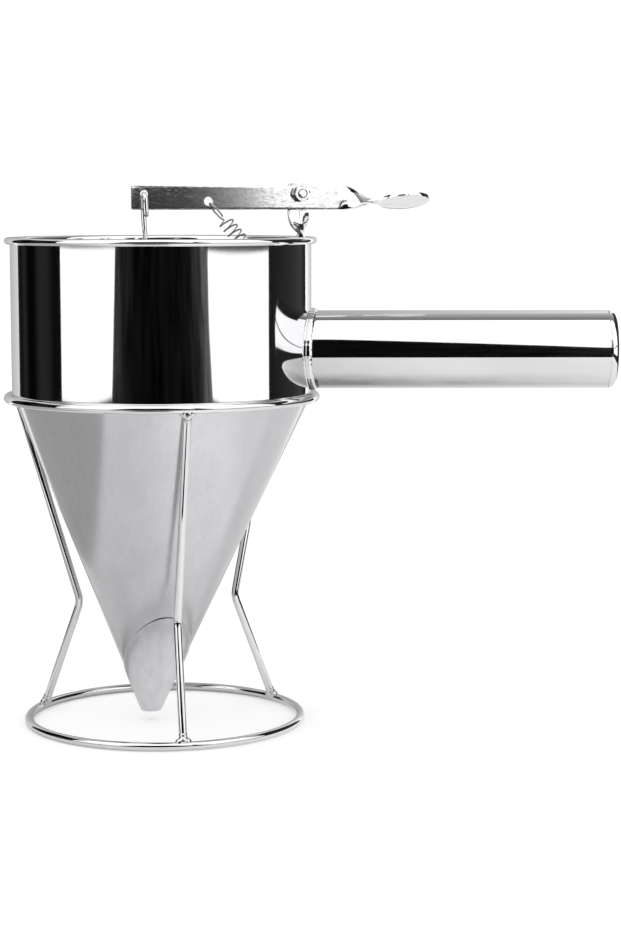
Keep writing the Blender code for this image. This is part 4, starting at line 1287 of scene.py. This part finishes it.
class DISPENSER_OT_stage(Operator):
    """The floor, the soft light, the dark cards and the camera"""

    bl_idname = "dispenser.stage"
    bl_label = "Stage"

    def execute(self, context):
        chosen = context.scene.dispenser_finishes
        self.floor(tuple(chosen.floor))
        self.world(context)
        self.lamp()
        self.cards()
        self.camera(context)
        context.scene.view_settings.view_transform = "Standard"
        return {"FINISHED"}

    def floor(self, tone):
        """A pale floor that keeps the object's shadow. It glows for the camera and in steel."""
        work = bmesh.new()
        half_width = 4
        bmesh.ops.create_grid(work, x_segments=1, y_segments=1, size=half_width)
        floor = object_from("floor", work)
        material = bpy.data.materials.new("floor")
        paint = blank(material)
        diffuse = paint.field("ShaderNodeBsdfDiffuse", None, {"Color": (*tone, 1)})
        across = paint.part("X")
        away = paint.part("Y")
        distance = (across * across + away * away) ** 0.5
        far = paint.between(distance, 0.4, 0.6, 0.45)
        # Painted light and shadow seen only in steel: right lifts the floor's glow beside the
        # object, past and behind dim it where the object's shadow falls.
        right = paint.between(across, -0.16, 0.03, 0.25)
        past = paint.between(across, 0.07, 0.15, 0.14)
        behind = paint.between(away, 0.0, 0.07, 0.22)
        near = right - past.largest(behind)
        seen = paint.ray("Is Camera Ray").largest(paint.ray("Is Transmission Ray"))
        mirrored = paint.ray("Is Glossy Ray")
        for_camera, in_steel = 0.36, 0.04
        strength = seen * for_camera + mirrored * (far.largest(near) + in_steel)
        glow = paint.field("ShaderNodeEmission", None, {"Strength": strength})
        total = paint.field("ShaderNodeAddShader", None, {0: diffuse, 1: glow})
        paint.node("ShaderNodeOutputMaterial", None, {"Surface": total})
        floor.data.materials.append(material)

    def world(self, context):
        """White all round, brighter for the camera and brighter still in steel."""
        world = bpy.data.worlds.new("studio")
        context.scene.world = world
        paint = blank(world)
        seen = paint.ray("Is Camera Ray").largest(paint.ray("Is Transmission Ray"))
        white, for_camera, in_steel = 0.95, 0.1, 0.35
        strength = seen * for_camera + paint.ray("Is Glossy Ray") * in_steel + white
        sky = paint.field(
            "ShaderNodeBackground", None, {"Color": (1, 1, 1, 1), "Strength": strength}
        )
        paint.node("ShaderNodeOutputWorld", None, {"Surface": sky})
        world.cycles.sampling_method = "NONE"

    def lamp(self):
        """A wide soft lamp above."""
        light = bpy.data.lights.new("overhead", "AREA")
        light.shape = "DISK"
        light.size = 1.6
        light.energy = 1.0
        lamp = object_of("overhead", light)
        lamp.location = (-0.2, -0.4, 1.7)
        lamp.rotation_euler = (math.radians(-13), math.radians(-7), 0)
        lamp.visible_glossy = False

    def cards(self):
        """Cards that only the steel sees. They give it its black and grey bands."""
        front = (
            (-0.4225, -0.465, 0.002),
            (0.362, -0.465, 0.002),
            (0.353, -0.5435, 0.1087),
            (0.350, -0.5587, 0.1468),
            (0.350, -0.5804, 0.201),
            (0.350, -0.592, 0.23),
            (0.331, -0.592, 0.231),
            (0.331, -0.74, 0.60),
            (0.262, -0.74, 0.60),
            (0.262, -0.66, 0.40),
            (0.222, -0.605, 0.262),
            (0.2095, -0.6033, 0.2582),
            (0.1443, -0.653, 0.3824),
            (0.073, -0.7134, 0.5334),
            (0.016, -0.766, 0.665),
            (-0.30, -0.75, 0.62),
            (-0.36, -0.66, 0.40),
            (-0.39, -0.581, 0.2023),
            (-0.402, -0.5436, 0.109),
        )
        edge = (
            (0.325, -0.46, 0.002),
            (0.384, -0.46, 0.002),
            (0.362, -0.555, 0.15),
            (0.366, -0.575, 0.2),
            (0.376, -0.585, 0.2085),
            (0.376, -0.587, 0.226),
            (0.325, -0.587, 0.226),
        )
        beside = (
            (-0.75, -0.16, 0.003),
            (-0.205, -0.16, 0.003),
            (-0.235, 0.4, 0.003),
            (-0.75, 0.4, 0.003),
        )
        near = (
            (-0.16, -0.36, 0.003),
            (-0.02, -0.36, 0.003),
            (-0.02, -0.205, 0.003),
            (-0.16, -0.205, 0.003),
        )
        above = ((-0.8, 0.1, 0.9), (0.9, 0.1, 0.9), (0.9, 0.8, 0.9), (-0.8, 0.8, 0.9))
        front_tones = (0.05, 0.012, 0.004, 0.003, 0.004, 0.004, 0.007, 0.028, 0.13)
        left_tones = (0.004, 0.004, 0.018, 0.02, 0.002, 0.002, 0.02, 0.004, 0.03)
        right_tones = (0.01, 0.02, 0.03, 0.05, 0.001)
        lever_tones = (0.035, 0.04, 0.045, 0.07, 0.15, 0.27, 0.38, 0.7)
        upper_tones = (0.14, 0.3, 0.42, 0.5, 0.58)
        back_tones = (0.75, 0.62, 0.5, 0.4, 0.5, 0.75, 1.25)
        dim = (0.02, 0.02)
        self.card("front_card", front, "X", (-0.42, 0.36), front_tones, uneven=4.0)
        self.card("edge_card", edge, "X", (0.325, 0.376), (0.09, 0.11, 0.16, 0.45))
        self.wall("lever_card", (0.224, -0.585), (0.330, -0.585), (0.231, 0.34), "X", lever_tones)
        self.wall("left_card", (-0.75, -0.199), (-0.66, 0.5), (0, 0.7), "Y", left_tones)
        self.wall("right_card", (0.6, -0.02), (0.378, 0.59), (0, 0.7), "Y", right_tones)
        self.wall("back_card", (-0.66, 0.5), (0.378, 0.59), (0, 0.8), "X", back_tones)
        self.wall("left_sill", (-0.69, -0.139), (-0.41, -0.54), (0, 0.097), "X", dim)
        self.wall("right_sill", (0.34, -0.50), (0.56, 0.02), (0, 0.095), "X", dim)
        self.wall("left_strip", (-0.69, -0.139), (-0.384, -0.577), (0.2140, 0.235), "X", dim)
        self.wall("right_strip", (0.327, -0.563), (0.56, 0.02), (0.2105, 0.226), "X", dim)
        self.card("upper_card", above, "Y", (0.1, 0.8), upper_tones)
        self.card("side_card", beside, "X", (-0.75, -0.2), (0.5, 0.46, 0.44, 0.44, 0.46))
        self.card("near_card", near, "X", (-0.16, -0.02), (0.2, 0.003, 0.003, 0.003, 0.2))

    def wall(self, name, start, end, heights, axis, tones):
        """An upright card between two points of the floor."""
        low, high = heights
        corners = ((*start, low), (*end, low), (*end, high), (*start, high))
        side = "XY".index(axis)
        self.card(name, corners, axis, (start[side], end[side]), tones)

    def card(self, name, corners, axis, span, tones, uneven=0.1):
        """One card. Its tones run along one axis and are uneven in upright streaks."""
        work = bmesh.new()
        face = work.faces.new([work.verts.new(corner) for corner in corners])
        bmesh.ops.triangulate(work, faces=[face])
        card = object_from(name, work)
        material = bpy.data.materials.new(name)
        paint = blank(material)
        share = (paint.part(axis) - span[0]) / (span[1] - span[0])
        stops = list(zip(spread(1, len(tones) - 1), tones))
        tone = paint.field("ShaderNodeValToRGB", {"stops": stops}, {0: share})
        streak = (paint.speckle(paint.stretched(0, (30, 30, 3)), 1.0, 2.0) - 0.5) * uneven + 1.0
        glow = paint.field("ShaderNodeEmission", None, {"Color": tone, "Strength": streak})
        paint.node("ShaderNodeOutputMaterial", None, {"Surface": glow})
        card.data.materials.append(material)
        card.visible_camera = False
        card.visible_diffuse = False
        card.visible_transmission = False
        card.visible_shadow = False

    def camera(self, context):
        """The photograph's view."""
        pan, pitch, roll = -0.00415, 0.11484, -0.00146
        place = Vector((0.00452, -1.05729, 0.24319))
        ahead = Vector(
            (math.sin(pan) * math.cos(pitch), math.cos(pan) * math.cos(pitch), -math.sin(pitch))
        )
        right = Vector((math.cos(pan), -math.sin(pan), 0))
        above = right.cross(ahead)
        right, above = (
            right * math.cos(roll) + above * math.sin(roll),
            above * math.cos(roll) - right * math.sin(roll),
        )
        lens = bpy.data.cameras.new("view")
        lens.sensor_fit = "VERTICAL"
        lens.sensor_height = 36.0
        lens.lens = 87.69
        camera = object_of("view", lens)
        turn = Matrix((right, above, -ahead)).transposed().to_4x4()
        camera.matrix_world = Matrix.Translation(place) @ turn
        context.scene.camera = camera


class DISPENSER_PT_pieces(Panel):
    """The dispenser's pieces and its stage"""

    bl_idname = "DISPENSER_PT_pieces"
    bl_label = "Batter Dispenser"
    bl_space_type = "VIEW_3D"
    bl_region_type = "UI"
    bl_category = "Dispenser"

    def draw(self, context):
        for maker in MAKERS:
            self.layout.operator(maker.bl_idname)


MAKERS = (
    DISPENSER_OT_cup,
    DISPENSER_OT_cone,
    DISPENSER_OT_handle,
    DISPENSER_OT_lever,
    DISPENSER_OT_bracket,
    DISPENSER_OT_pivot,
    DISPENSER_OT_stopper,
    DISPENSER_OT_spring,
    DISPENSER_OT_stand,
    DISPENSER_OT_stage,
)
CLASSES = (DispenserSizes, DispenserFinishes, *MAKERS, DISPENSER_PT_pieces)


def register():
    for item in CLASSES:
        bpy.utils.register_class(item)
    bpy.types.Scene.dispenser_sizes = PointerProperty(type=DispenserSizes)
    bpy.types.Scene.dispenser_finishes = PointerProperty(type=DispenserFinishes)


def unregister():
    del bpy.types.Scene.dispenser_finishes
    del bpy.types.Scene.dispenser_sizes
    for item in reversed(CLASSES):
        bpy.utils.unregister_class(item)


def main():
    """Make every piece and the stage."""
    register()
    bpy.ops.dispenser.cup()
    bpy.ops.dispenser.cone()
    bpy.ops.dispenser.handle()
    bpy.ops.dispenser.lever()
    bpy.ops.dispenser.bracket()
    bpy.ops.dispenser.pivot()
    bpy.ops.dispenser.stopper()
    bpy.ops.dispenser.spring()
    bpy.ops.dispenser.stand()
    bpy.ops.dispenser.stage()


if __name__ == "__main__":
    main()
